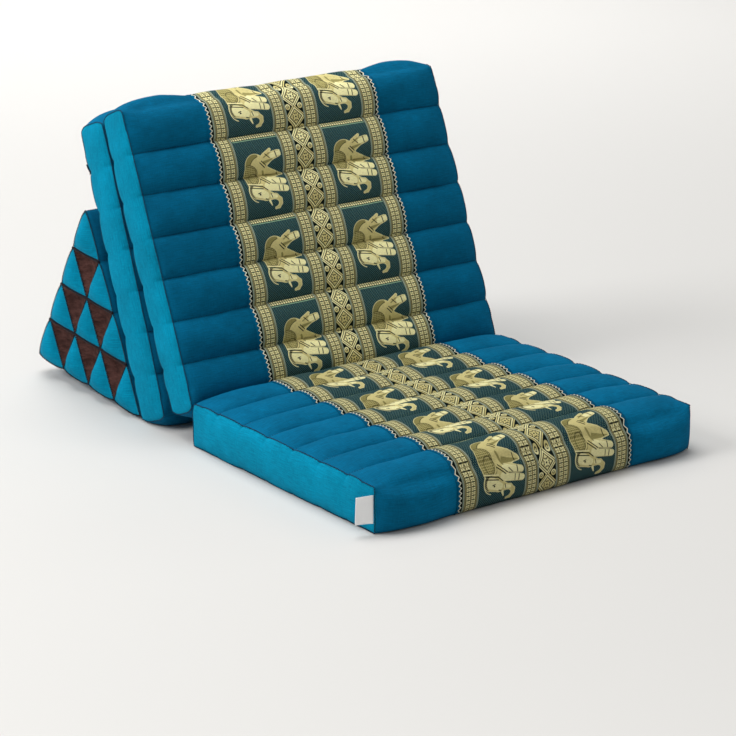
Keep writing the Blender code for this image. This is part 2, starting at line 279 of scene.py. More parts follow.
brocade = {
    "width": 299.0,
    "channel": matLength / matChannels / mm,
    "fieldInner": 39.5,        # from the band's middle line
    "fieldOuter": 115.2,
    "borderMiddles": (27.3, 128.2),
    "borderHalf": 12.8,
    "zigzagStart": 142.8,
    "barLow": 50.2,            # above the seam through the elephants
    "barHigh": 58.6,
    "diamondHalf": (14.0, 13.8),
    "diamondEdge": 2.4,
    "backMargin": 7.2,         # from a field's side to the elephant's back
    "cellPitch": 5.94,         # of the borders' squares
    "columnMiddle": 3.9,
    "zigzagPitch": 6.6,
    "barPitch": 3.9,
    "twillPitch": 2.3,
    "speckPitch": 3.0,
    "streakStretch": (240.0, 1500.0, 1.0),
    "threadPitch": 0.7 * mm,
    "threadDepth": 0.25 * mm,
    "softEdge": 0.3,           # half the width of a thread's edge
    "seatPaintedShade": 0.70,          # painted shade: the stretch on the seat is painted darker than the rest, for the sheen its gold threads lose there
    "ground": linear(10, 42, 55),
    "black": linear(14, 26, 24),
    "gold": linear(220, 208, 142),
    "pale": linear(250, 244, 184),
    "white": linear(244, 244, 220),
    "cotton": cotton["face"],
    "olive": linear(118, 113, 60),
    "stripe": linear(150, 162, 142),
    "green": linear(140, 176, 146),
}

# The elephant, in millimetres: first the distance from its back line towards its feet, then the
# distance up the band from the seam that it crosses. Each stroke runs from one round end to another.
elephantBody = [
    # name, from, to, radius there, radius here
    ("rump", (21, 13), (24, 4), 17.5, 18.0),
    ("barrel", (20, 3), (19, -9), 18.5, 17.5),
    ("shoulder", (19, -11), (25, -15), 16.0, 13.0),
    ("head", (12, -22), (26, -29), 12.0, 8.5),
    ("brow", (26, -29), (34, -31.5), 8.5, 5.6),
    ("upperTrunk", (34, -32), (43, -33.5), 5.2, 4.0),
    ("trunkBend", (43, -33.5), (48.6, -38.5), 4.0, 3.4),
    ("lowerTrunk", (48.6, -38.5), (48.8, -43.4), 3.4, 2.9),
    ("trunkTurn", (48.8, -43.4), (45.4, -47.9), 2.9, 2.4),
    ("trunkTip", (45.4, -47.9), (39.8, -49.2), 2.4, 1.8),
    ("nearForeleg", (30, -17), (62.6, -24.6), 6.8, 4.6),
    ("farForeleg", (34, -7), (62.2, -13.8), 6.4, 4.3),
    ("thigh", (28, 15), (46, 23.5), 10.0, 6.6),
    ("shin", (46, 23.5), (60.5, 26.5), 6.2, 5.2),
    ("farShin", (37, 26), (49, 33.4), 3.4, 2.1),
    ("nearThigh", (33, 4), (50, 0), 9.6, 5.6),
    ("nearShin", (50, 0), (64, -1.8), 5.4, 2.4),
]
elephantLight = [
    ("nearForeleg", (33, -18), (64.5, -25), 5.4, 3.6),
    ("farForeleg", (38, -8.5), (63.5, -14), 4.4, 3.2),
    ("head", (13, -23), (26, -30), 8.0, 5.5),
    ("trunk", (36, -32), (43, -33.5), 3.2, 2.4),
    ("shin", (50, 24.5), (60.5, 26.5), 3.6, 3.2),
]
elephantShade = [
    ("underThigh", (40, -1.4), (63, -3.6), 2.6, 1.2),
    ("innerThigh", (36, 16.5), (50, 19.5), 2.2, 1.0),
    ("farLegGap", (37, 23.6), (50, 30.4), 0.9, 1.0),
    ("belly", (33, 5), (37, -4), 1.5, 1.5),
]
elephantLines = [
    ("betweenForelegs", (42, -14.5), (68, -19.8), 0.45, 1.0),
    ("thighCrease", (29, 17), (36, 10), 0.45, 0.45),
    ("thighCrease2", (32, 19), (38.5, 12.5), 0.45, 0.3),
    ("kneeFold", (40, 28), (46, 22), 0.4, 0.3),
    ("shinBand", (56, 32.5), (58, 21), 0.45, 0.45),
    ("nearShinBand", (57.5, 3), (57, -5), 0.4, 0.4),
    ("farAnkle", (57.4, -8), (56.2, -17), 0.4, 0.4),
    ("nearAnkle", (58.6, -19.5), (57.2, -28.5), 0.4, 0.4),
    ("nearKnee", (52, -18.5), (51, -27.5), 0.3, 0.3),
    ("strapAcross", (26, -6), (37, -15), 0.5, 0.4),
    ("strapAcross2", (29, -4), (40, -13.5), 0.4, 0.4),
    ("kneeCrease", (44, -9.5), (49, -15.5), 0.4, 0.3),
    ("cheek", (24, -17), (31, -23), 0.5, 0.4),
    ("neck", (5, -13), (24, -17), 0.5, 0.5),
    ("neck2", (4, -16.5), (24, -20.5), 0.4, 0.4),
    ("eyelid", (14.6, -26.2), (18.6, -25.4), 0.45, 0.3),
    ("eye", (17, -27.8), (17.4, -28), 0.9, 0.9),
    ("mouth", (25, -35), (31.5, -37.2), 0.5, 0.3),
    ("trunkFold", (35, -28.5), (36.4, -34), 0.3, 0.3),
]
elephantPale = [
    ("tusk", (31, -38.4), (33.6, -44.6), 1.9, 0.8),
    ("farToes", (64.4, -11.5), (63.9, -16.5), 1.2, 1.2),
    ("nearToes", (65.0, -22), (64.4, -27.2), 1.2, 1.2),
    ("hindToes", (63.6, 30), (64.4, 24), 1.3, 1.3),
    ("collar", (2.5, -11), (25, -14.6), 0.8, 0.7),
]
# round parts: the middle, as above, and the radius
elephantRounds = {
    "rump": ((30.0, 6.0), 20.2),
    "blanket": ((9.5, 0.5), 15.0),
    "saddle": ((17.0, -5.0), 8.6),
    "crown": ((15.5, -23.5), 14.4),
}


def strokeGroup():
    # the drawing so far comes as a place and, third, the distance to what is drawn already; each
    # stroke has round ends and joins the others smoothly
    tree = bpy.data.node_groups.new("stroke", "ShaderNodeTree")
    addInputs(tree, {"Drawing": "Vector", "From": "Vector", "To": "Vector",
                     "First Radius": "Float", "Last Radius": "Float", "Blend": "Float"})
    tree.interface.new_socket("Drawing", in_out="OUTPUT", socket_type="NodeSocketVector")
    given = tree.nodes.new("NodeGroupInput").outputs
    result = tree.nodes.new("NodeGroupOutput")
    flat = vectorCalc(tree, "MULTIPLY", given["Drawing"], (1.0, 1.0, 0.0))
    offset = vectorCalc(tree, "SUBTRACT", flat, given["From"])
    run = vectorCalc(tree, "SUBTRACT", given["To"], given["From"])
    along = vectorCalc(tree, "DOT_PRODUCT", offset, run)
    whole = vectorCalc(tree, "DOT_PRODUCT", run, run)
    share = calc(tree, "DIVIDE", along, whole, clamp=True)
    apart = vectorCalc(tree, "DISTANCE", offset, times(tree, run, share))
    growth = calc(tree, "SUBTRACT", given["Last Radius"], given["First Radius"])
    radius = calc(tree, "MULTIPLY_ADD", share, growth, given["First Radius"])
    outside = calc(tree, "SUBTRACT", apart, radius)
    before = put(tree, "ShaderNodeSeparateXYZ", given["Drawing"]).node.outputs
    joined = calc(tree, "SMOOTH_MIN", before[2], outside, given["Blend"])
    drawn = put(tree, "ShaderNodeCombineXYZ", before[0], before[1], joined)
    tree.links.new(drawn, result.inputs[0])
    return tree


def drawStrokes(tree, group, point, strokes, blend):
    drawing = vectorCalc(tree, "ADD", point, (0.0, 0.0, 99.0))
    for name, start, end, firstRadius, lastRadius in strokes:
        node = tree.nodes.new("ShaderNodeGroup")
        node.node_tree = group
        node.label = name
        tree.links.new(drawing, node.inputs["Drawing"])
        values = {"From": (*start, 0.0), "To": (*end, 0.0), "Blend": blend,
                  "First Radius": firstRadius, "Last Radius": lastRadius}
        for socket, value in values.items():
            node.inputs[socket].default_value = value
        drawing = node.outputs[0]
    return put(tree, "ShaderNodeSeparateXYZ", drawing).node.outputs[2]


class Weaving:
    # a mask is 1 where its threads show, and the colour so far is painted over where a mask says so
    def __init__(self, tree, across, up):
        self.tree, self.across, self.up = tree, across, up
        self.middle = brocade["width"] / 2
        self.fromMiddle = self.absolute(self.minus(across, self.middle))
        self.color = None

    def paint(self, mask, name):
        self.color = mixColor(self.tree, mask, self.color, brocade[name])

    def plus(self, first, second):
        return calc(self.tree, "ADD", first, second)

    def minus(self, first, second):
        return calc(self.tree, "SUBTRACT", first, second)

    def absolute(self, value):
        return calc(self.tree, "ABSOLUTE", value)

    def wrapped(self, value, pitch):
        # counted from the middle of the nearest repeat
        return calc(self.tree, "WRAP", value, pitch / 2, -pitch / 2)

    def inside(self, distance, edge=0.0):
        half = brocade["softEdge"]
        return ramp(self.tree, distance, edge + half, edge - half)

    def past(self, distance, edge):
        return self.minus(1.0, self.inside(distance, edge))

    def between(self, value, low, high):
        away = self.absolute(self.minus(value, (low + high) / 2))
        return self.inside(away, (high - low) / 2)

    def repeated(self, value, pitch, size):
        return self.inside(self.absolute(self.wrapped(value, pitch)), size)

    def both(self, *masks):
        result = masks[0]
        for mask in masks[1:]:
            result = calc(self.tree, "MULTIPLY", result, mask)
        return result

    def either(self, *masks):
        result = masks[0]
        for mask in masks[1:]:
            result = calc(self.tree, "MAXIMUM", result, mask)
        return result


def weaveGround(cloth, inMm):
    # a twill with green specks
    tree = cloth.tree
    slope = cloth.plus(cloth.across, cloth.up)
    twill = cloth.absolute(cloth.wrapped(slope, brocade["twillPitch"]))
    fleck = noiseAt(tree, inMm, 0.55, 2.0, 0.6)
    shade = calc(tree, "MULTIPLY", ramp(tree, twill, 0.35, 1.0, 0.5, 2.9), uneven(tree, fleck, 0.4))
    cloth.color = mixColor(tree, 1.0, brocade["ground"], shade, "MULTIPLY")
    crossing = cloth.minus(cloth.across, cloth.up)
    pitch = brocade["speckPitch"]
    specks = cloth.both(cloth.repeated(slope, pitch, 0.6), cloth.repeated(crossing, pitch, 0.75), 0.6)
    cloth.paint(specks, "green")
    return twill


def weaveElephants(cloth):
    # the same way round in both fields
    tree, middle = cloth.tree, cloth.middle
    both, either, inside, between = cloth.both, cloth.either, cloth.inside, cloth.between
    inner, outer = brocade["fieldInner"], brocade["fieldOuter"]
    rightSide = calc(tree, "GREATER_THAN", cloth.across, middle)
    fieldStart = ramp(tree, rightSide, 0.0, 1.0, middle - outer, middle + inner)
    height = cloth.minus(cloth.minus(cloth.across, fieldStart), brocade["backMargin"])
    length = cloth.wrapped(cloth.up, brocade["channel"] * 2)
    inField = between(cloth.fromMiddle, inner + 0.6, outer - 0.6)
    point = put(tree, "ShaderNodeCombineXYZ", height, length)
    group = strokeGroup()

    def fromRound(name):
        centre, radius = elephantRounds[name]
        return vectorCalc(tree, "DISTANCE", point, (*centre, 0.0)), radius

    body = drawStrokes(tree, group, point, elephantBody, 2.0)
    bodyMask = both(inside(body), inField)
    cloth.paint(bodyMask, "gold")
    # rump, hatched past a round line
    hatch = cloth.repeated(cloth.minus(height, length), 1.9, 0.5)
    fromRump, radius = fromRound("rump")
    behind = both(inside(height, 27.0), cloth.past(length, 1.0))
    rumpShade = both(bodyMask, cloth.past(fromRump, radius), behind)
    cloth.paint(both(rumpShade, ramp(tree, hatch, 0.0, 1.0, 0.6, 1.0)), "olive")
    cloth.paint(both(bodyMask, behind, between(fromRump, radius - 0.6, radius + 0.3)), "black")
    light = drawStrokes(tree, group, point, elephantLight, 1.0)
    cloth.paint(both(bodyMask, inside(light)), "pale")
    shade = drawStrokes(tree, group, point, elephantShade, 1.0)
    cloth.paint(both(bodyMask, inside(shade), 0.75), "olive")
    # blanket with a basket weave inside an outlined arc, and the saddle's line
    fromBlanket, radius = fromRound("blanket")
    blanket = both(bodyMask, inside(fromBlanket, radius))
    basket = either(cloth.repeated(height, 2.8, 0.35), cloth.repeated(length, 2.4, 0.35))
    cloth.paint(both(blanket, 0.95), "olive")
    cloth.paint(both(blanket, basket, 0.75), "gold")
    outerRim = between(fromBlanket, radius - 0.6, radius + 0.3)
    innerRim = between(fromBlanket, radius - 2.4, radius - 1.9)
    cloth.paint(both(bodyMask, either(outerRim, innerRim), 0.85), "black")
    fromSaddle, radius = fromRound("saddle")
    cloth.paint(both(bodyMask, between(fromSaddle, radius - 0.4, radius + 0.4), 0.8), "black")
    # cap on the head and its pale edge
    fromCrown, radius = fromRound("crown")
    cap = both(between(fromCrown, radius - 3.8, radius), inside(height, 9.0), inside(length, -13.0))
    capDots = cloth.repeated(cloth.plus(height, length), 2.6, 0.55)
    cloth.paint(cap, "ground")
    cloth.paint(both(cap, capDots, 0.6), "gold")
    capEdge = both(between(fromCrown, radius, radius + 1.1), inside(height, 12.0), inside(length, -12.0))
    cloth.paint(both(capEdge, inField), "pale")
    lines = drawStrokes(tree, group, point, elephantLines, 0.3)
    cloth.paint(both(inside(lines, 0.3), bodyMask), "black")
    pale = drawStrokes(tree, group, point, elephantPale, 0.3)
    cloth.paint(both(inside(pale), inField), "pale")
    cloth.paint(both(bodyMask, cloth.past(body, -0.9), 0.65), "pale")
    return inField, length


def weaveBars(cloth, inField, rowUp):
    # between the rows: a green line under two rows of small squares
    both, between = cloth.both, cloth.between
    low, high = brocade["barLow"], brocade["barHigh"]
    barUp = cloth.minus(rowUp, (low + high) / 2)
    bar = both(inField, between(rowUp, low, high))
    cloth.paint(bar, "black")
    squares = cloth.repeated(cloth.across, brocade["barPitch"], 1.3)
    rows = cloth.either(between(barUp, -1.8, 0.6), between(barUp, 1.4, 3.8))
    cloth.paint(both(bar, squares, rows), "pale")
    cloth.paint(both(bar, between(barUp, -4.4, -2.9)), "green")
    cloth.paint(both(bar, between(barUp, -2.7, -2.0)), "black")


def weaveBorders(cloth):
    # two columns of squares between plain stripes
    both, inside, between = cloth.both, cloth.inside, cloth.between
    toBorder = [cloth.absolute(cloth.minus(cloth.fromMiddle, place)) for place in brocade["borderMiddles"]]
    fromBorder = calc(cloth.tree, "MINIMUM", *toBorder)
    cloth.paint(inside(fromBorder, brocade["borderHalf"]), "black")
    cloth.paint(between(fromBorder, 8.6, 9.2), "gold")
    cloth.paint(between(fromBorder, 10.0, 12.4), "stripe")
    fromColumn = cloth.absolute(cloth.minus(fromBorder, brocade["columnMiddle"]))
    cell = cloth.absolute(cloth.wrapped(cloth.up, brocade["cellPitch"]))
    cloth.paint(both(inside(fromColumn, 2.7), inside(cell, 2.25)), "pale")
    upward = both(inside(fromColumn, 0.5), inside(cloth.absolute(cloth.minus(cell, 1.5)), 1.1))
    sideways = both(inside(cell, 0.5), inside(cloth.absolute(cloth.minus(fromColumn, 1.6)), 1.2))
    cloth.paint(both(cloth.either(upward, sideways), 0.75), "black")
    cloth.paint(both(inside(fromColumn, 0.6), inside(cell, 0.6)), "gold")
    beads = both(between(fromColumn, 2.7, 3.6), cloth.repeated(cloth.up, brocade["cellPitch"] / 3, 0.55))
    cloth.paint(beads, "gold")


def weaveLattice(cloth):
    # diamonds with a flower in each, curls and a second outline between them
    tree, fromMiddle, channel = cloth.tree, cloth.fromMiddle, brocade["channel"]
    both, inside, between = cloth.both, cloth.inside, cloth.between
    halfWide, halfHigh = brocade["diamondHalf"]
    inLattice = inside(fromMiddle, brocade["borderMiddles"][0] - brocade["borderHalf"])
    cloth.paint(inLattice, "black")
    start = cloth.plus(cloth.up, channel / 4)
    latticeUp = cloth.absolute(cloth.wrapped(start, channel / 2))
    diamond = calc(tree, "MULTIPLY_ADD", fromMiddle, halfHigh / halfWide, latticeUp)
    edge = between(diamond, halfHigh - brocade["diamondEdge"], halfHigh)
    total = cloth.plus(fromMiddle, latticeUp)
    apart = cloth.absolute(cloth.minus(fromMiddle, latticeUp))
    petals = both(inside(apart, 1.9), between(total, 1.8, 7.8))
    least = calc(tree, "MINIMUM", fromMiddle, latticeUp)
    most = calc(tree, "MAXIMUM", fromMiddle, latticeUp)
    spokes = both(inside(least, 0.8), between(most, 1.4, 4.4))
    corners = both(inside(least, 1.3), between(most, 5.4, 8.2))
    gapUp = cloth.absolute(cloth.minus(latticeUp, channel / 4))
    gapPoint = put(tree, "ShaderNodeCombineXYZ", cloth.minus(fromMiddle, halfWide - 3.4), gapUp)
    fromGap = vectorCalc(tree, "LENGTH", gapPoint)
    second = both(between(diamond, halfHigh + 1.3, halfHigh + 3.5), cloth.past(fromGap, 4.8))
    curl = cloth.either(between(fromGap, 2.1, 4.1), inside(fromGap, 1.1))
    squares = both(cloth.repeated(total, 4.2, 1.4), cloth.repeated(apart, 4.2, 1.4))
    fine = both(squares, between(diamond, 6.4, halfHigh - 3.0))
    cloth.paint(both(inLattice, fine), "gold")
    bright = both(inLattice, cloth.either(petals, spokes, corners, second, curl))
    # painted shade and painted light: the flowers in the lower half of each channel are gold, those in the
    # upper half pale
    other = calc(tree, "GREATER_THAN", cloth.absolute(cloth.wrapped(start, channel)), channel / 4)
    flower = mixColor(tree, other, brocade["pale"], brocade["gold"])
    cloth.color = mixColor(tree, bright, cloth.color, flower)
    cloth.paint(both(inLattice, edge), "pale")


def weaveZigzag(cloth):
    # along both edges, where the band is sewn to the cotton
    zig = cloth.absolute(cloth.wrapped(cloth.up, brocade["zigzagPitch"]))
    swing = calc(cloth.tree, "MULTIPLY_ADD", zig, 1.15, brocade["zigzagStart"])
    inEdge = cloth.past(cloth.fromMiddle, brocade["borderMiddles"][1] + brocade["borderHalf"])
    cloth.paint(inEdge, "black")
    fromZigzag = cloth.minus(cloth.fromMiddle, swing)
    cloth.paint(cloth.both(inEdge, cloth.past(fromZigzag, 1.3)), "cotton")
    cloth.paint(cloth.both(inEdge, cloth.inside(cloth.absolute(fromZigzag), 0.8)), "white")


def brocadeMaterial():
    made, tree, shader = newMaterial("brocade", 0.82, specular=0.05)
    uv = put(tree, "ShaderNodeUVMap", uv_map="cloth")
    inMm = vectorCalc(tree, "MULTIPLY", uv, (1000.0, 1000.0, 0.0))
    split = put(tree, "ShaderNodeSeparateXYZ", inMm).node.outputs
    cloth = Weaving(tree, split[0], split[1])
    twill = weaveGround(cloth, inMm)
    weaveBars(cloth, *weaveElephants(cloth))
    weaveBorders(cloth)
    weaveLattice(cloth)
    weaveZigzag(cloth)
    streak = noiseAt(tree, uv, 1.0, 2.0, 0.6, brocade["streakStretch"])
    # painted shade: the band is darker where it lies on the seat
    seatStart = -brocade["channel"] * matChannels
    seatShade = ramp(tree, cloth.up, seatStart - 4.0, seatStart, brocade["seatPaintedShade"], 1.0)
    shade = calc(tree, "MULTIPLY", seatShade, ramp(tree, streak, 0.3, 0.7, 0.82, 1.16))
    tree.links.new(times(tree, cloth.color, shade), shader.inputs["Base Color"])
    threads = threadHeight(tree, uv, brocade["threadPitch"])
    height = calc(tree, "MULTIPLY_ADD", twill, 0.6, calc(tree, "MULTIPLY_ADD", streak, 1.4, threads))
    tree.links.new(bumped(tree, height, 0.35, brocade["threadDepth"]), shader.inputs["Normal"])
    return made


def threadMaterial(name, color):
    made, tree, shader = newMaterial(name, 0.7, sheen=0.1)
    place = put(tree, "ShaderNodeTexCoord", output=3)
    fleck = noiseAt(tree, place, 900.0, 2.0, 0.5)
    tree.links.new(times(tree, color[:3], uneven(tree, fleck, 0.3)), shader.inputs["Base Color"])
    return made


def labelMaterial():
    made, tree, shader = newMaterial("blankLabel", 0.6, sheen=0.1)
    uv = put(tree, "ShaderNodeUVMap", uv_map="cloth")
    threads = threadHeight(tree, uv, 0.5 * mm)
    shade = ramp(tree, threads, -1.0, 1.0, 0.88, 1.0)
    tree.links.new(times(tree, (0.98, 0.98, 0.98), shade), shader.inputs["Base Color"])
    tree.links.new(bumped(tree, threads, 0.4, 0.15 * mm), shader.inputs["Normal"])
    return made


# The mats

matLook = {
    "width": 0.536,
    "length": matLength,
    "channels": matChannels,
    "channelRise": 7.5 * mm,
    "middleRise": 4.0 * mm,
    "seamDip": 2.0 * mm,
    "sideRise": 7.0 * mm,
    "endRise": 20.0 * mm,
    "bandHold": 6.0 * mm,
    "holdRamp": 45.0 * mm,
    "endRound": 30.0 * mm,
    "edgePull": 2.5 * mm,      # how far each seam draws in the side edges
    "edgeScallop": 1.8 * mm,   # and how far the cloth between them swells up
    "lyingShare": 0.25,        # how much of both is left on the floor
    "endPinch": 0.45,
    "lyingPinch": 0.10,
    "across": 76,              # columns of the cloth mesh
    "channelShares": (0.0, 0.045, 0.12, 0.24, 0.38, 0.5, 0.62, 0.76, 0.88, 0.955),
    "levels": (-1.0, -0.82, -0.6, -0.36, -0.12, 0.12, 0.36, 0.6, 0.82, 1.0),
    "waver": 1.5 * mm,         # how uneven the seams are
    "uneven": 2.2 * mm,        # and how uneven the filling between them
    "lumpScale": (13.0, 22.0),
    "pucker": 1.5 * mm,        # small folds that run out from the seams
    "foldScale": 62.0,
    "waverScale": 17.0,
    "waverSeed": 4,
    "seamCrease": 0.9,
    "edgeCrease": 0.75,
}
matTable = {
    # corner and slope seen from the side, which edges are hinged or lie on the floor, and how many
    # channels of the pattern come before the mat's head end
    "seat": {"corner": (-0.003, 0.063), "tilt": 0.0, "thick": 0.062, "hinged": [("head", 1)],
             "lying": [("foot", -1), ("head", -1)], "before": 7.0, "bandFace": 1, "cornerBow": 0.06},
    "front": {"corner": (0.4145, 0.057), "tilt": 67.1, "thick": 0.056, "hinged": [("foot", 1), ("head", -1)],
              "lying": [], "before": 0.0, "bandFace": 1, "cornerBow": 0.32},
    "rear": {"corner": (0.4881, 0.0237), "tilt": 70.1, "thick": 0.063, "hinged": [("foot", -1), ("head", 1)],
             "lying": [], "before": 1.0, "bandFace": -1, "cornerBow": 0.22},
}
bandLook = {
    "left": -0.146,
    "right": 0.153,
    "lift": 0.9 * mm,
    "thick": 0.75 * mm,
    "rearStart": 0.014,        # where the rear band starts above its hinge
}
hingeTable = {
    "seatHinge": {"at": (0.4111, 0.0615), "run": (0.35, -0.94), "start": 0.0085, "node": "seat_hinge",
                  "rests": ["seatMat", "frontMat"]},
    "topHinge": {"at": (0.6297, 0.4178), "run": (-0.361, -0.932), "start": 0.0, "node": "top_hinge",
                 "rests": ["frontMat", "rearMat"]},
    "baseHinge": {"at": (0.5497, 0.0040), "run": (0.40, 0.9165), "start": 0.0005, "node": "base_hinge",
                  "rests": ["rearMat", "triangleCushion"]},
}
hingeLook = {"length": 0.500, "depth": 0.009, "thick": 0.7 * mm, "gap": 1.1 * mm, "wave": 0.5 * mm,
             "columns": 101}
frontToOrigin = 0.205          # the side view's zero lies this far in front of the origin
pressGap = 1.9 * mm
halfWidth = matLook["width"] / 2
channelLength = matLook["length"] / matLook["channels"]


def sideToWorld(sidePoint):
    return Vector((0.0, sidePoint[0] - frontToOrigin, sidePoint[1]))


def matMatrix(mat):
    turn = Matrix.Rotation(math.radians(mat["tilt"]), 4, "X")
    toMiddle = turn @ Vector((0.0, 0.0, -mat["thick"] / 2))
    return Matrix.Translation(sideToWorld(mat["corner"]) + toMiddle) @ turn


def hingePlane(name, side):
    # the plane where two cushions press on each other, moved towards one of them
    hinge = hingeTable[name]
    run = Vector((0.0, *hinge["run"])).normalized()
    rearward = run.cross(Vector((1.0, 0.0, 0.0)))
    if rearward.y < 0.0:
        rearward = -rearward
    normal = rearward * side
    return sideToWorld(hinge["at"]) + normal * pressGap, normal


floorPlane = (Vector((0.0, 0.0, 0.0)), Vector((0.0, 0.0, 1.0)))
pressPlanes = {
    "seat": [floorPlane, hingePlane("seatHinge", -1)],
    "front": [hingePlane("seatHinge", 1), hingePlane("topHinge", -1)],
    "rear": [floorPlane, hingePlane("topHinge", 1), hingePlane("baseHinge", -1)],
    "triangle": [floorPlane, hingePlane("baseHinge", 1)],
}


def press(points, planes):
    # points past a plane go back onto it
    for origin, normal in planes:
        facing = np.array(normal)
        past = (points - np.array(origin)) @ facing
        points -= np.minimum(past, 0.0)[:, None] * facing
    return points


def channelProfile(share):
    return max(0.0, 1.0 - abs(2.0 * share - 1.0) ** 2.6) ** 0.6


def sideFade(across):
    return math.sqrt(max(0.0, 1.0 - abs(across / halfWidth) ** 6))


def endBulge(mat, across):
    fade = max(mat["cornerBow"], math.sqrt(max(0.0, 1.0 - abs(across / halfWidth) ** 10)))
    inside = min(across - bandLook["left"], bandLook["right"] - across)
    hold = min(max(1.0 + inside / matLook["holdRamp"], 0.0), 1.0)
    return fade * (matLook["endRise"] - matLook["bandHold"] * hold)


def halfThickness(mat, across, along, face):
    fade = sideFade(across)
    place = along / channelLength
    channel = min(int(place + tiny), matLook["channels"] - 1)
    share = min(max(place - channel, 0.0), 1.0)
    edge = ("foot" if place < matLook["channels"] / 2 else "head", face)
    free = edge not in mat["hinged"]
    if free and channel == 0:
        share = max(share, 0.5)
    if free and channel == matLook["channels"] - 1:
        share = min(share, 0.5)
    rise = channelProfile(share)
    lift = matLook["middleRise"] + matLook["channelRise"] * rise
    height = mat["thick"] / 2 - matLook["seamDip"] * (1.0 - rise) + fade * lift
    if not free:
        return height
    toEnd = min(along, matLook["length"] - along) / matLook["endRound"]
    rounding = math.sqrt(max(0.0, 1.0 - (1.0 - min(toEnd, 1.0)) ** 2))
    pinch = matLook["lyingPinch"] if edge in mat["lying"] else matLook["endPinch"]
    leftOver = 1.0 - fade * pinch
    return height * (leftOver + (1.0 - leftOver) * rounding)


def matPoint(mat, across, along, level):
    upper = halfThickness(mat, across, along, 1)
    lower = halfThickness(mat, across, along, -1)
    up = (1.0 + level) / 2.0 * upper - (1.0 - level) / 2.0 * lower
    belly = 1.0 - level ** 4
    out = across
    if abs(across) > halfWidth - tiny:
        ends = math.sin(math.pi * min(max(along / matLook["length"], 0.0), 1.0)) ** 0.4
        out += math.copysign(matLook["sideRise"] * belly * ends, across)
        place = along / channelLength
        rise = channelProfile(place - math.floor(place + tiny))
        share = matLook["lyingShare"] if mat["tilt"] == 0.0 and level < 0.0 else 1.0
        if 0.5 < place < matLook["channels"] - 0.5:
            out -= math.copysign(matLook["edgePull"] * share * (1.0 - rise) * level ** 2, across)
            up += matLook["edgeScallop"] * share * rise * level ** 3
            if share < 1.0:
                up -= matLook["seamDip"] * (1.0 - rise) * level ** 2 * (1.0 - share)
    run = along
    if along < tiny:
        run -= belly * endBulge(mat, across)
    if along > matLook["length"] - tiny:
        run += belly * endBulge(mat, across)
    return Vector((out, run, up))


def waver(point, amount, seed):
    # a small uneven shift, the same each run once the noise is seeded
    place = Vector(point) * matLook["waverScale"] + Vector((seed, 0.0, 0.0))
    return noise.noise_vector(place) * amount


def unevenness(mat, across, along, face):
    # lumps of filling on the crowns, and small folds beside the seams
    channel = math.floor(along / channelLength)
    rise = channelProfile(along / channelLength - channel)
    lumpAcross, lumpAlong = matLook["lumpScale"]
    lump = noise.noise(Vector((across * lumpAcross, along * lumpAlong, mat["tilt"] + face * 5.0)))
    fold = abs(noise.noise(Vector((across * matLook["foldScale"], channel * 3.0, mat["tilt"]))))
    return face * (matLook["uneven"] * lump * rise - matLook["pucker"] * fold * (1.0 - rise ** 3))


def acrossStations():
    count = matLook["across"]
    even = [-halfWidth + matLook["width"] * part / count for part in range(count + 1)]
    edges = (bandLook["left"], bandLook["right"])
    step = matLook["width"] / count
    kept = [place for place in even if min(abs(place - edge) for edge in edges) > step / 2]
    return sorted(kept + list(edges))


def alongStations():
    channels = range(matLook["channels"])
    rows = [channelLength * (channel + share) for channel in channels for share in matLook["channelShares"]]
    return rows + [matLook["length"]]


def boxShell(counts):
    # quads over the six sides of a box of stations; returns the stations of each vertex
    places, quads, sides = {}, [], []
    for axis in range(3):
        first, second = [other for other in range(3) if other != axis]
        for end in (0, 1):
            for one in range(counts[first] - 1):
                for two in range(counts[second] - 1):
                    ring = []
                    for stepOne, stepTwo in ((0, 0), (1, 0), (1, 1), (0, 1)):
                        key = [end * (counts[axis] - 1)] * 3
                        key[first] = one + stepOne
                        key[second] = two + stepTwo
                        ring.append(places.setdefault(tuple(key), len(places)))
                    quads.append(ring)
                    sides.append((axis, end))
    return list(places), quads, sides


def matUv(mat, side, across, along, level):
    # metres across and up the cloth, so that a band's pattern runs on over the ends
    axis, end = side
    if axis == 0:
        return along, level * mat["thick"] / 2
    headUp = -mat["before"] * channelLength
    face = mat["bandFace"]
    sideways = across - bandLook["left"] if face > 0 else bandLook["right"] - across
    if axis == 2:
        return sideways, headUp - (matLook["length"] - along)
    depth = (1.0 - level * face) / 2.0 * mat["thick"]
    return sideways, headUp + depth if end else headUp - matLook["length"] - depth


def addPiece(name, mesh):
    piece = bpy.data.objects.new(name, mesh)
    bpy.context.scene.collection.objects.link(piece)
    return piece


def outward(mesh):
    work = bmesh.new()
    work.from_mesh(mesh)
    bmesh.ops.recalc_face_normals(work, faces=work.faces[:])
    work.to_mesh(mesh)
    work.free()


def addCreases(mesh, keys, sewn):
    # edges along the seams of the channels, and along the cushion's own edges
    values = []
    for edge in mesh.edges:
        (columnOne, rowOne, layerOne), (columnTwo, rowTwo, layerTwo) = (keys[end] for end in edge.vertices)
        kind = min(sewn[end] for end in edge.vertices)
        sameLayer = layerOne == layerTwo
        isSeam = kind >= 1 and rowOne == rowTwo and sameLayer and columnOne != columnTwo
        isEdge = kind == 2 and columnOne == columnTwo and sameLayer
        values.append(matLook["seamCrease"] if isSeam else matLook["edgeCrease"] if isEdge else 0.0)
    mesh.attributes.new("crease_edge", "FLOAT", "EDGE").data.foreach_set("value", values)


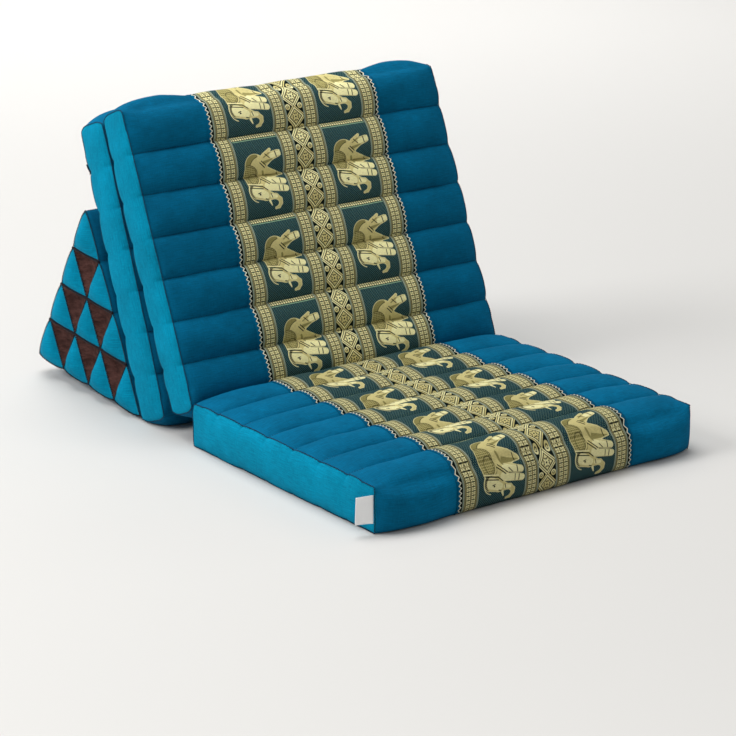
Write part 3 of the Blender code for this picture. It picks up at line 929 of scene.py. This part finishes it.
def buildMat(name):
    mat = matTable[name]
    matrix = matMatrix(mat)
    stations = (acrossStations(), alongStations(), list(matLook["levels"]))
    keys, quads, sides = boxShell([len(row) for row in stations])
    places = [[row[part] for row, part in zip(stations, key)] for key in keys]
    seams = set(range(0, len(stations[1]), len(matLook["channelShares"])))
    lastAcross, lastAlong, lastLevel = (len(row) - 1 for row in stations)
    points, pinned, sewn = [], [], []
    for index, (column, row, layer) in enumerate(keys):
        across, along, level = places[index]
        point = matPoint(mat, across, along, level)
        onFace = layer in (0, lastLevel)
        onSide = column in (0, lastAcross)
        face = 1 if layer == lastLevel else -1
        edge = ("foot" if row == 0 else "head", face)
        openEnd = row in (0, lastAlong) and edge not in mat["hinged"] and edge not in mat["lying"]
        isSeam = onFace and row in seams and not openEnd
        isEdge = onFace and onSide
        if isSeam or isEdge:
            pinned.append(index)
            point += waver(point, matLook["waver"], mat["tilt"])
        elif onFace:
            point.z += unevenness(mat, across, along, face)
        sewn.append(2 if isEdge else 1 if isSeam else 0)
        points.append(matrix @ point)
    mesh = bpy.data.meshes.new(name + "Mat")
    mesh.from_pydata([tuple(point) for point in points], [], quads)
    clothUv = mesh.uv_layers.new(name="cloth")
    for polygon, side in zip(mesh.polygons, sides):
        polygon.material_index = 1 if side[0] == 0 else 0
        for corner in polygon.loop_indices:
            place = places[mesh.loops[corner].vertex_index]
            clothUv.data[corner].uv = matUv(mat, side, *place)
    sideCode = mesh.attributes.new("sideCode", "INT", "FACE")
    sideCode.data.foreach_set("value", [axis * 2 + end for axis, end in sides])
    addCreases(mesh, keys, sewn)
    outward(mesh)
    piece = addPiece(name + "Mat", mesh)
    piece["pinned"] = pinned
    return piece


# The triangle

triangleLook = {
    "corners": {"front": (0.552, 0.006), "top": (0.685, 0.279), "rear": (0.836, 0.028)},
    "crowns": {"front": 7.0 * mm, "top": 14.0 * mm, "rear": 5.0 * mm},
    "rows": 4,
    "rowParts": 8,
    "rowRise": 8.0 * mm,
    "scallop": 4.0 * mm,
    "cornerPull": 0.5 * mm,
    "wrinkle": 2.2 * mm,       # folds of the sunken patches
    "patchRise": 12.0 * mm,
    "patchSink": 9.0 * mm,
    "crease": 0.85,
    "across": 44,
}


def triangleCorners():
    corners = [Vector(place) for place in triangleLook["corners"].values()]
    return corners, sum(corners, Vector((0.0, 0.0))) / 3


def sectionShares(point, corners):
    first, second, third = corners
    whole = (second - first).cross(third - first)
    return (
        (second - point).cross(third - point) / whole,
        (third - point).cross(first - point) / whole,
        (first - point).cross(second - point) / whole,
    )


def patchAt(shares):
    # which small triangle a point of the end lies in: 1 points up, -1 down, 0 on a seam
    slack = 1e-3
    scaled = [share * triangleLook["rows"] for share in shares]
    whole = [math.floor(value + slack / 10) for value in scaled]
    rest = [value - floor for value, floor in zip(scaled, whole)]
    if min(rest) < slack or min(1.0 - value for value in rest) < slack:
        return 0, rest
    return (1 if sum(whole) == triangleLook["rows"] - 1 else -1), rest


def trianglePoint(point, corners, middle):
    side = Vector((point.y, point.z))
    shares = sectionShares(side, corners)
    onFace = [share < 1e-5 for share in shares]
    fade = sideFade(point.x)
    out, move = point.x, Vector((0.0, 0.0))
    if sum(onFace) == 2:
        move = (middle - side).normalized() * triangleLook["cornerPull"]
    elif sum(onFace) == 1:
        index = onFace.index(True)
        ahead, behind = corners[(index + 1) % 3], corners[(index + 2) % 3]
        along = (behind - ahead).normalized()
        facing = Vector((-along.y, along.x))
        if facing.dot(ahead - middle) < 0.0:
            facing = -facing
        place = shares[(index + 2) % 3]
        row = place * triangleLook["rows"]
        rise = channelProfile(row - math.floor(row + tiny))
        crown = list(triangleLook["crowns"].values())[index] * math.sin(math.pi * min(max(place, 0.0), 1.0))
        bulge = (triangleLook["rowRise"] - triangleLook["scallop"]) * rise
        move = facing * (fade * (crown + bulge) + triangleLook["scallop"] * rise)
    elif abs(point.x) > halfWidth - tiny:
        patch, rest = patchAt(shares)
        if patch > 0:
            push = triangleLook["patchRise"] * 27.0 * rest[0] * rest[1] * rest[2]
            out += math.copysign(push ** 0.8 * triangleLook["patchRise"] ** 0.2, point.x)
        elif patch < 0:
            left = [1.0 - value for value in rest]
            hollow = min(1.0, 27.0 * left[0] * left[1] * left[2])
            fold = noise.noise(Vector((point.y * 26.0, point.z * 70.0 + point.y * 25.0, point.x * 9.0)))
            sink = triangleLook["patchSink"] * hollow + triangleLook["wrinkle"] * fold * hollow ** 0.5
            out -= math.copysign(sink, point.x)
    return Vector((out, point.y + move.x, point.z + move.y))


def vertexKind(co, corners):
    # which long faces a point lies on, whether it is at an end, which lattice lines it is on
    shares = sectionShares(Vector((co.y, co.z)), corners)
    onFace = [share < 1e-5 for share in shares]
    scaled = [share * triangleLook["rows"] for share in shares]
    onLattice = [abs(value - round(value)) < 1e-3 for value in scaled]
    return onFace, abs(co.x) > halfWidth - tiny, onLattice, shares


def isCreased(one, two, across):
    # an edge along a ridge or a row of the long faces, round an end, or between two patches
    ridge = sum(one[0]) == 2 and sum(two[0]) == 2
    if one[1] and two[1]:
        rim = any(a and b for a, b in zip(one[0], two[0]))
        lines = zip(one[2], two[2], one[3], two[3])
        return ridge or rim or any(a and b and abs(first - second) < 1e-5 for a, b, first, second in lines)
    onRows = all(sum(kind[2]) >= 2 and sum(kind[0]) >= 1 for kind in (one, two))
    return ridge or (onRows and across > tiny)


def isPinned(kind):
    onFace, atEnd, onLattice, shares = kind
    if sum(onFace) == 2 or (any(onFace) and sum(onLattice) >= 2):
        return True
    return atEnd and (any(onLattice) or any(onFace) or patchAt(shares)[0] < 0)


def buildTriangle():
    corners, middle = triangleCorners()
    work = bmesh.new()
    bmesh.ops.create_cone(work, cap_ends=True, segments=3, radius1=1.0, radius2=1.0, depth=2.0)
    for vertex in work.verts:
        turn = math.atan2(vertex.co.y, vertex.co.x) / math.tau
        corner = corners[round(turn * 3) % 3]
        vertex.co = Vector((vertex.co.z * halfWidth, corner.x, corner.y))

    def cut(place, normal):
        everything = work.verts[:] + work.edges[:] + work.faces[:]
        bmesh.ops.bisect_plane(work, geom=everything, dist=1e-7, plane_co=place, plane_no=normal)

    for part in range(1, triangleLook["across"]):
        cut((halfWidth * (2.0 * part / triangleLook["across"] - 1.0), 0.0, 0.0), (1.0, 0.0, 0.0))
    parts = triangleLook["rows"] * triangleLook["rowParts"]
    for index, corner in enumerate(corners):
        ahead, behind = corners[(index + 1) % 3], corners[(index + 2) % 3]
        along = behind - ahead
        for part in range(1, parts):
            at = ahead.lerp(corner, part / parts)
            cut((0.0, at.x, at.y), (0.0, -along.y, along.x))
    clothUv = work.loops.layers.uv.new("cloth")
    creases = work.edges.layers.float.new("crease_edge")
    kinds = {vertex: vertexKind(vertex.co, corners) for vertex in work.verts}
    for face in work.faces:
        atEnd = all(kinds[vertex][1] for vertex in face.verts)
        if atEnd:
            centre = face.calc_center_median()
            patch = patchAt(sectionShares(Vector((centre.y, centre.z)), corners))[0]
            face.material_index = 2 if patch < 0 else 1
        for loop in face.loops:
            co, shares = loop.vert.co, kinds[loop.vert][3]
            loop[clothUv].uv = (co.y, co.z) if atEnd else (co.x, (shares[0] - shares[1]) * 0.3)
    for edge in work.edges:
        one, two = edge.verts
        sewn = isCreased(kinds[one], kinds[two], abs(one.co.x - two.co.x))
        edge[creases] = triangleLook["crease"] if sewn else 0.0
    work.verts.index_update()
    pinned = [vertex.index for vertex in work.verts if isPinned(kinds[vertex])]
    for vertex in work.verts:
        vertex.co = trianglePoint(vertex.co, corners, middle)
    bmesh.ops.recalc_face_normals(work, faces=work.faces[:])
    mesh = bpy.data.meshes.new("triangleCushion")
    work.to_mesh(mesh)
    work.free()
    mesh.transform(Matrix.Translation(sideToWorld((0.0, 0.0))))
    piece = addPiece("triangleCushion", mesh)
    piece["pinned"] = pinned
    return piece


# Filling by simulation: the cover swells between its sewn lines

fillLook = {
    "pressure": 4.0,
    "frames": 20,
    "quality": 5,
    "slack": 0.035,
    "evenTurns": 6,
    "mostMove": {"seatMat": 2.0 * mm, "frontMat": 1.6 * mm, "rearMat": 2.5 * mm, "triangleCushion": 4.0 * mm},
    "bending": 0.6,
}


def readPoints(mesh):
    points = np.zeros(len(mesh.vertices) * 3, np.float64)
    mesh.vertices.foreach_get("co", points)
    return points.reshape(-1, 3)


def writePoints(mesh, points):
    mesh.vertices.foreach_set("co", points.astype(np.float32).ravel())
    mesh.update()


def evenOut(mesh, move, pinned):
    # neighbours share their movement, so that no single thread of the mesh stands out
    ends = np.zeros(len(mesh.edges) * 2, np.int64)
    mesh.edges.foreach_get("vertices", ends)
    one, two = ends.reshape(-1, 2).T
    count = np.bincount(ends, minlength=len(move))[:, None]
    free = np.ones(len(move), bool)
    free[list(pinned)] = False
    for _ in range(fillLook["evenTurns"]):
        total = np.zeros_like(move)
        np.add.at(total, one, move[two])
        np.add.at(total, two, move[one])
        mean = total / np.maximum(count, 1)
        move = np.where(free[:, None], (move + mean) / 2, move)
    return move


def addFilling(piece):
    group = piece.vertex_groups.new(name="sewn")
    group.add(list(piece["pinned"]), 1.0, "REPLACE")
    filling = piece.modifiers.new("filling", "CLOTH")
    settings = filling.settings
    settings.quality = fillLook["quality"]
    settings.mass = 0.2
    settings.tension_stiffness = 12.0
    settings.compression_stiffness = 12.0
    settings.shear_stiffness = 4.0
    settings.bending_stiffness = fillLook["bending"]
    settings.use_pressure = True
    settings.uniform_pressure_force = fillLook["pressure"]
    settings.vertex_group_mass = "sewn"
    settings.pin_stiffness = 1.0
    settings.shrink_min = -fillLook["slack"]
    settings.effector_weights.gravity = 0.0
    filling.collision_settings.use_collision = False
    filling.collision_settings.use_self_collision = False
    filling.point_cache.frame_end = fillLook["frames"]


def fillCushions(cushions):
    before = {piece.name: readPoints(piece.data) for piece in cushions}
    for piece in cushions:
        addFilling(piece)
    for step in range(1, fillLook["frames"] + 1):
        bpy.context.scene.frame_set(step)
    depsgraph = bpy.context.evaluated_depsgraph_get()
    for piece in cushions:
        filled = readPoints(piece.evaluated_get(depsgraph).data)
        rest = before[piece.name]
        move = filled - rest
        far = np.linalg.norm(move, axis=1)
        most = fillLook["mostMove"][piece.name]
        print(f"{piece.name}: the filling moved the cover {far.max() * 1000:.1f} mm at most, "
              f"{far.mean() * 1000:.1f} mm on average")
        share = np.minimum(1.0, most / np.maximum(far, 1e-9))
        even = evenOut(piece.data, move * share[:, None], set(piece["pinned"]))
        writePoints(piece.data, rest + even)
        piece.modifiers.clear()
        piece.vertex_groups.clear()
    bpy.context.scene.frame_set(1)


def finishCushion(piece, planes):
    del piece["pinned"]
    writePoints(piece.data, press(readPoints(piece.data), planes))
    smooth = piece.modifiers.new("smooth", "SUBSURF")
    smooth.levels = 1
    smooth.render_levels = 1
    smooth.boundary_smooth = "PRESERVE_CORNERS"
    bakeModifiers(piece)
    writePoints(piece.data, press(readPoints(piece.data), planes))
    piece.data.shade_smooth()


def bakeModifiers(piece):
    depsgraph = bpy.context.evaluated_depsgraph_get()
    mesh = bpy.data.meshes.new_from_object(piece.evaluated_get(depsgraph))
    piece.modifiers.clear()
    old = piece.data
    piece.data = mesh
    bpy.data.meshes.remove(old)
    mesh.name = piece.name


def thicken(piece, thick, offset=0.0):
    cloth = piece.modifiers.new("cloth", "SOLIDIFY")
    cloth.thickness = thick
    cloth.offset = offset
    bakeModifiers(piece)


def addSheet(name, points, columns, rows, flat):
    # a sheet through columns of points, with its place on the flat cloth as its own map
    quads = [[c * rows + r, (c + 1) * rows + r, (c + 1) * rows + r + 1, c * rows + r + 1]
             for c in range(columns - 1) for r in range(rows - 1)]
    mesh = bpy.data.meshes.new(name)
    mesh.from_pydata([tuple(point) for point in points], [], quads)
    clothUv = mesh.uv_layers.new(name="cloth")
    for corner, loop in enumerate(mesh.loops):
        column, row = divmod(loop.vertex_index, rows)
        clothUv.data[corner].uv = (flat[0] * column / (columns - 1), flat[1] * row / (rows - 1))
    return addPiece(name, mesh)


# Bands: cut from the filled mat's own surface and lifted off it

def buildBand(key, matPiece):
    mat = matTable[key]
    mesh = matPiece.data
    face = 5 if mat["bandFace"] > 0 else 4
    freeEnd = 2 if key == "seat" else 3
    codes = np.zeros(len(mesh.polygons), np.int32)
    mesh.attributes["sideCode"].data.foreach_get("value", codes)
    uv = mesh.uv_layers["cloth"].data
    width = bandLook["right"] - bandLook["left"]
    headUp = -mat["before"] * channelLength
    lowest = headUp - matLook["length"] + (bandLook["rearStart"] if key == "rear" else 0.0)
    kept = []
    for polygon in mesh.polygons:
        code = codes[polygon.index]
        if code not in (face, freeEnd):
            continue
        spots = [uv[corner].uv for corner in polygon.loop_indices]
        across = sum(spot.x for spot in spots) / len(spots)
        up = sum(spot.y for spot in spots) / len(spots)
        depth = lowest - up if key == "seat" else up - headUp
        if not 0.0 < across < width or (code == face and up < lowest):
            continue
        if code == freeEnd and depth > mat["thick"] * 0.9:
            continue
        kept.append(polygon.index)
    work = bmesh.new()
    work.from_mesh(mesh)
    work.faces.ensure_lookup_table()
    keptSet = set(kept)
    bmesh.ops.delete(work, geom=[f for f in work.faces if f.index not in keptSet], context="FACES")
    work.normal_update()
    moves = [(vertex, vertex.normal * bandLook["lift"]) for vertex in work.verts]
    for vertex, move in moves:
        vertex.co += move
    band = bpy.data.meshes.new(key + "Band")
    work.to_mesh(band)
    work.free()
    band.materials.clear()
    band.polygons.foreach_set("material_index", [0] * len(band.polygons))
    area = sum(polygon.area for polygon in band.polygons)
    piece = addPiece(key + "Band", band)
    thicken(piece, bandLook["thick"], -1.0)
    return piece, area / width


# Hinges: the joined seam allowances, folded once

def buildHinge(name):
    hinge = hingeTable[name]
    run = Vector((0.0, *hinge["run"])).normalized()
    across = Vector((1.0, 0.0, 0.0))
    facing = run.cross(across)
    depth, gap = hingeLook["depth"], hingeLook["gap"]
    section = [(depth * part / 5, -gap / 2) for part in range(5)]
    section += [(depth - gap / 2 + gap / 2 * math.sin(turn), -gap / 2 * math.cos(turn))
                for turn in (math.pi * part / 4 for part in range(5))]
    section += [(depth * part / 5, gap / 2) for part in range(4, -1, -1)]
    columns = hingeLook["columns"]
    points = []
    for column in range(columns):
        x = hingeLook["length"] * (column / (columns - 1) - 0.5)
        wave = hingeLook["wave"] * noise.noise(Vector((x * 40.0, hinge["at"][0] * 10.0, 0.0)))
        for deep, aside in section:
            place = sideToWorld(hinge["at"]) + run * (hinge["start"] + min(deep, depth - 0.2 * mm))
            points.append(place + facing * (aside + wave) + across * x)
    flat = (hingeLook["length"], 2 * depth)
    piece = addSheet(name, points, columns, len(section), flat)
    thicken(piece, hingeLook["thick"])
    outward(piece.data)
    piece.data.shade_smooth()
    return piece


labelLook = {
    "width": 0.024,
    "height": 0.038,
    "bottom": 0.0145,
    "turns": (20.0, 12.0),
    "thick": 0.6 * mm,
    "curl": 1.5 * mm,
    "inset": 1.0 * mm,
}


def buildLabel():
    mat = matTable["seat"]
    middle = mat["corner"][1] - mat["thick"] / 2
    matrix = matMatrix(mat)
    width, height = labelLook["width"], labelLook["height"]
    low, high = labelLook["turns"]
    columns, rows = 13, 19
    points = []
    for column in range(columns):
        for row in range(rows):
            outShare, upShare = column / (columns - 1), row / (rows - 1)
            out = labelLook["inset"] + width * outShare
            turn = math.radians(low + (high - low) * upShare)
            curl = labelLook["curl"] * math.sin(math.pi * outShare) * (1.0 - upShare)
            up = labelLook["bottom"] + height * upShare - middle
            place = Vector((-halfWidth - out * math.cos(turn), out * math.sin(turn) + curl, up))
            points.append(matrix @ place)
    piece = addSheet("sideLabel", points, columns, rows, (width, height))
    thicken(piece, labelLook["thick"])
    outward(piece.data)
    piece.data.shade_smooth()
    return piece


tabLook = {
    "along": 0.361,            # where the small dark tab sits on the rear mat's edge
    "height": 0.015,
    "depth": 5.2 * mm,         # of the folded tape, with the part caught in the seam
    "caught": 1.6 * mm,
    "gap": 1.0 * mm,
    "thick": 0.5 * mm,
    "way": (-0.3, -0.95),      # outwards past the side strip and away from the mat's back
}


def buildTab():
    mat = matTable["rear"]
    matrix = matMatrix(mat)
    sideways, outUp = tabLook["way"]
    way = (matrix.to_3x3() @ Vector((sideways, 0.0, outUp))).normalized()
    aside = (matrix.to_3x3() @ Vector((-outUp, 0.0, sideways))).normalized()
    depth, gap = tabLook["depth"], tabLook["gap"] / 2
    section = [(0.0, -gap), (depth / 2, -gap), (depth - gap, -gap), (depth, 0.0), (depth - gap, gap),
               (depth / 2, gap), (0.0, gap)]
    rows = 7
    points = []
    for deep, side in section:
        for row in range(rows):
            along = tabLook["along"] + tabLook["height"] * (row / (rows - 1) - 0.5)
            edge = matrix @ matPoint(mat, -halfWidth, along, -1)
            points.append(edge + way * (deep - tabLook["caught"]) + aside * side)
    piece = addSheet("rearTab", points, len(section), rows, (2 * depth, tabLook["height"]))
    thicken(piece, tabLook["thick"])
    outward(piece.data)
    return piece


# Stitches, by Geometry Nodes along lines that carry the way the cloth faces

stitchLook = {
    "seam": {"pitch": 4.0 * mm, "length": 3.6 * mm, "thick": 1.0 * mm, "slant": 5.0, "lift": 0.25 * mm},
    "edge": {"pitch": 2.9 * mm, "length": 3.9 * mm, "thick": 1.6 * mm, "slant": 24.0, "lift": 0.5 * mm},
    "patch": {"pitch": 3.0 * mm, "length": 3.4 * mm, "thick": 1.9 * mm, "slant": 40.0, "lift": 0.7 * mm},
    "welt": {"pitch": 2.4 * mm, "length": 4.8 * mm, "thick": 4.4 * mm, "slant": 18.0, "lift": 1.1 * mm},
    "jitter": (0.75, 1.25),    # of the slant
    "seed": 4,
}


def stitchTree():
    # a bead at each step of a line, turned along it and slanted to either side by turns
    tree = bpy.data.node_groups.new("stitches", "GeometryNodeTree")
    addInputs(tree, {"Geometry": "Geometry", "Pitch": "Float", "Length": "Float", "Thickness": "Float",
                     "Slant": "Float", "Lift": "Float", "Seed": "Int", "Thread": "Material"})
    tree.interface.new_socket("Geometry", in_out="OUTPUT", socket_type="NodeSocketGeometry")
    given = tree.nodes.new("NodeGroupInput").outputs
    result = tree.nodes.new("NodeGroupOutput")

    def add(kind, inputs, output=0, **settings):
        node = tree.nodes.new(kind)
        for name, value in settings.items():
            setattr(node, name, value)
        for name, value in inputs.items():
            if isinstance(value, bpy.types.NodeSocket):
                tree.links.new(value, node.inputs[name])
            else:
                node.inputs[name].default_value = value
        return node.outputs[output]

    def addMath(operation, *values):
        return add("ShaderNodeMath", dict(enumerate(values)), operation=operation)

    curve = add("GeometryNodeMeshToCurve", {"Mesh": given["Geometry"]})
    even = add("GeometryNodeResampleCurve", {"Curve": curve, "Length": given["Pitch"]}, mode="LENGTH")
    dots = add("GeometryNodeCurveToPoints", {"Curve": even}, "Points", mode="EVALUATED")
    facing = add("GeometryNodeInputNamedAttribute", {"Name": "facing"}, data_type="FLOAT_VECTOR")
    lifted = add("ShaderNodeVectorMath", {0: facing, "Scale": given["Lift"]}, operation="SCALE")
    placed = add("GeometryNodeSetPosition", {"Geometry": dots, "Offset": lifted})
    alignment = "FunctionNodeAlignRotationToVector"
    alongLine = add(alignment, {"Vector": dots.node.outputs["Tangent"]}, axis="X")
    upright = add(alignment, {"Rotation": alongLine, "Vector": facing}, axis="Z", pivot_axis="X")
    parity = addMath("MODULO", add("GeometryNodeInputIndex", {}), 2.0)
    sign = addMath("MULTIPLY_ADD", parity, 2.0, -1.0)
    low, high = stitchLook["jitter"]
    jitter = add("FunctionNodeRandomValue", {2: low, 3: high, "Seed": given["Seed"]}, 1, data_type="FLOAT")
    slant = addMath("MULTIPLY", addMath("MULTIPLY", sign, given["Slant"]), jitter)
    turn = add("ShaderNodeCombineXYZ", {"Z": slant})
    turned = add("FunctionNodeRotateRotation", {"Rotation": upright, "Rotate By": turn},
                 rotation_space="LOCAL")
    bead = add("GeometryNodeMeshUVSphere", {"Segments": 5, "Rings": 3, "Radius": 0.5}, "Mesh")
    thickness = given["Thickness"]
    scale = add("ShaderNodeCombineXYZ", {"X": given["Length"], "Y": thickness, "Z": thickness})
    copies = add("GeometryNodeInstanceOnPoints",
                 {"Points": placed, "Instance": bead, "Rotation": turned, "Scale": scale})
    real = add("GeometryNodeRealizeInstances", {0: copies})
    painted = add("GeometryNodeSetMaterial", {"Geometry": real, "Material": given["Thread"]})
    tree.links.new(painted, result.inputs[0])
    return tree


def sewLines(name, tree, lines, look, thread):
    # lines: lists of (point, facing)
    points, edges, facings = [], [], []
    for line in lines:
        start = len(points)
        points += [tuple(point) for point, facing in line]
        facings += [value for point, facing in line for value in facing]
        edges += [(start + step, start + step + 1) for step in range(len(line) - 1)]
    mesh = bpy.data.meshes.new(name)
    mesh.from_pydata(points, edges, [])
    mesh.attributes.new("facing", "FLOAT_VECTOR", "POINT").data.foreach_set("vector", facings)
    piece = addPiece(name, mesh)
    sewing = piece.modifiers.new("sewing", "NODES")
    sewing.node_group = tree
    values = {
        "Pitch": look["pitch"], "Length": look["length"], "Thickness": look["thick"],
        "Slant": math.radians(look["slant"]), "Lift": look["lift"],
        "Seed": stitchLook["seed"], "Thread": thread,
    }
    for item in tree.interface.items_tree:
        if item.in_out == "INPUT" and item.name in values:
            sewing[item.identifier] = values[item.name]
    bakeModifiers(piece)
    writePoints(piece.data, press(readPoints(piece.data), [floorPlane]))
    piece.data.shade_smooth()
    return piece


def surfaceOf(piece):
    points = [vertex.co.copy() for vertex in piece.data.vertices]
    return BVHTree.FromPolygons(points, [tuple(polygon.vertices) for polygon in piece.data.polygons])


def onto(surface, points, facing=None):
    line = []
    for point in points:
        place, normal = surface.find_nearest(point)[:2]
        line.append((place, facing if facing is not None else normal))
    return line


def matSeams(key, surface):
    mat = matTable[key]
    matrix = matMatrix(mat)
    up = (matrix.to_3x3() @ Vector((0.0, 0.0, 1.0))).normalized()
    steps = 68
    seams, edges = [], []
    for face in (1, -1):
        if key == "seat" and face < 0:
            continue
        for channel in range(1, matLook["channels"]):
            along = channel * channelLength
            row = [matrix @ matPoint(mat, -halfWidth + matLook["width"] * step / steps, along, face)
                   for step in range(steps + 1)]
            seams.append(onto(surface, row, up * face))
    for side in (-1, 1):
        for face in (1, -1):
            row = [matrix @ matPoint(mat, side * halfWidth, matLook["length"] * step / steps, face)
                   for step in range(steps + 1)]
            outwardWay = (up * face + Vector((side, 0.0, 0.0))).normalized()
            edges.append(onto(surface, row, outwardWay))
        for along in (0.0, matLook["length"]):
            away = -1.0 if along == 0.0 else 1.0
            row = [matrix @ matPoint(mat, side * halfWidth, along, step / 10.0 - 1.0) for step in range(21)]
            endWay = matrix.to_3x3() @ Vector((0.0, away, 0.0))
            outwardWay = (endWay + Vector((side, 0.0, 0.0))).normalized()
            edges.append(onto(surface, row, outwardWay))
    return seams, edges


def triangleSeams(surface):
    corners, middle = triangleCorners()
    rows = triangleLook["rows"]
    steps = 12
    lines, welts, rowLines = [], [], []
    for side in (-1, 1):
        facing = Vector((side, 0.0, 0.0))
        for index in range(3):
            for row in range(rows):
                share = row / rows
                start = corners[index] * share + corners[(index + 1) % 3] * (1.0 - share)
                end = corners[index] * share + corners[(index + 2) % 3] * (1.0 - share)
                parts = (rows - row) * steps
                points = []
                for part in range(parts + 1):
                    place = start.lerp(end, part / parts)
                    moved = trianglePoint(Vector((side * halfWidth, place.x, place.y)), corners, middle)
                    points.append(moved + sideToWorld((0.0, 0.0)))
                kept = welts if index == 1 and row > 0 else lines
                kept.append(onto(surface, points, facing))
    for index in range(3):
        ahead, behind = corners[(index + 1) % 3], corners[(index + 2) % 3]
        for row in range(rows):
            place = ahead.lerp(behind, row / rows)
            points = []
            for step in range(61):
                across = halfWidth * (step / 30.0 - 1.0)
                points.append(trianglePoint(Vector((across, place.x, place.y)), corners, middle)
                              + sideToWorld((0.0, 0.0)))
            way = (place - middle).normalized()
            rowLines.append(onto(surface, points, Vector((0.0, way.x, way.y))))
    return lines, welts, rowLines


def paintPiece(piece, *materials):
    # each cloth goes into the slot of its number, and a slot is added where the piece has none yet
    mesh = piece.data
    for index, made in enumerate(materials):
        if index < len(mesh.materials):
            mesh.materials[index] = made
        else:
            mesh.materials.append(made)


def main():
    makeCamera()
    makeStudio()
    print("camera, floor and light are set")
    faceCotton = cottonMaterial("faceCotton", cotton["face"])
    # the same cotton as the face, painted lighter: painted light on the sides that face the lamp
    paintedLightSideCotton = cottonMaterial("paintedLightSideCotton", cotton["side"])
    brownCotton = cottonMaterial("brownCotton", cotton["brown"], crumple=1.0)
    tapeCotton = cottonMaterial("tapeCotton", cotton["tape"])
    darkCotton = cottonMaterial("darkCotton", cotton["dark"])
    bandCloth = brocadeMaterial()
    whiteTape = labelMaterial()
    seamThread = threadMaterial("seamThread", linear(6, 62, 92))
    darkThread = threadMaterial("darkThread", linear(28, 26, 32))
    edgeThread = threadMaterial("edgeThread", linear(8, 54, 80))
    print("materials are made")

    noise.seed_set(matLook["waverSeed"])
    mats = {key: buildMat(key) for key in matTable}
    triangle = buildTriangle()
    fillCushions([*mats.values(), triangle])
    for key, piece in mats.items():
        finishCushion(piece, pressPlanes[key])
        paintPiece(piece, faceCotton, paintedLightSideCotton)
    finishCushion(triangle, pressPlanes["triangle"])
    paintPiece(triangle, faceCotton, paintedLightSideCotton, brownCotton)
    print("cushions are filled")

    bands, bandLengths = {}, {}
    for key, piece in mats.items():
        bands[key], bandLengths[key] = buildBand(key, piece)
        paintPiece(bands[key], bandCloth)
    hinges = {name: buildHinge(name) for name in hingeTable}
    for piece in hinges.values():
        paintPiece(piece, tapeCotton)
    label = buildLabel()
    paintPiece(label, whiteTape)
    tab = buildTab()
    paintPiece(tab, darkCotton)
    print("bands, hinges and label are made")

    tree = stitchTree()
    sewing = []
    for key, piece in mats.items():
        surface = surfaceOf(piece)
        seams, edges = matSeams(key, surface)
        sewing.append(sewLines(key + "SeamStitches", tree, seams, stitchLook["seam"], seamThread))
        sewing.append(sewLines(key + "EdgeStitches", tree, edges, stitchLook["edge"], edgeThread))
    patchLines, weltLines, rowLines = triangleSeams(surfaceOf(triangle))
    sewing.append(sewLines("patchWelts", tree, weltLines, stitchLook["welt"], darkThread))
    sewing.append(sewLines("patchStitches", tree, patchLines, stitchLook["patch"], darkThread))
    sewing.append(sewLines("triangleRowStitches", tree, rowLines, stitchLook["seam"], seamThread))
    print("stitches are sewn")

    for key, piece in mats.items():
        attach(piece, "root")
        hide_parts(key + "_mat")
        band = bands[key]
        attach(band, "root")
        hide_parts(key + "_band")
    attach(triangle, "root")
    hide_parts("triangle_cushion")
    for name, piece in hinges.items():
        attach(piece, "root")
        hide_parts(hingeTable[name]["node"])
    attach(label, "root")
    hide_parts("label")
    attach(tab, "root")
    for piece in sewing:
        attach(piece, "root")
    print("pieces ride on the frame")


main()
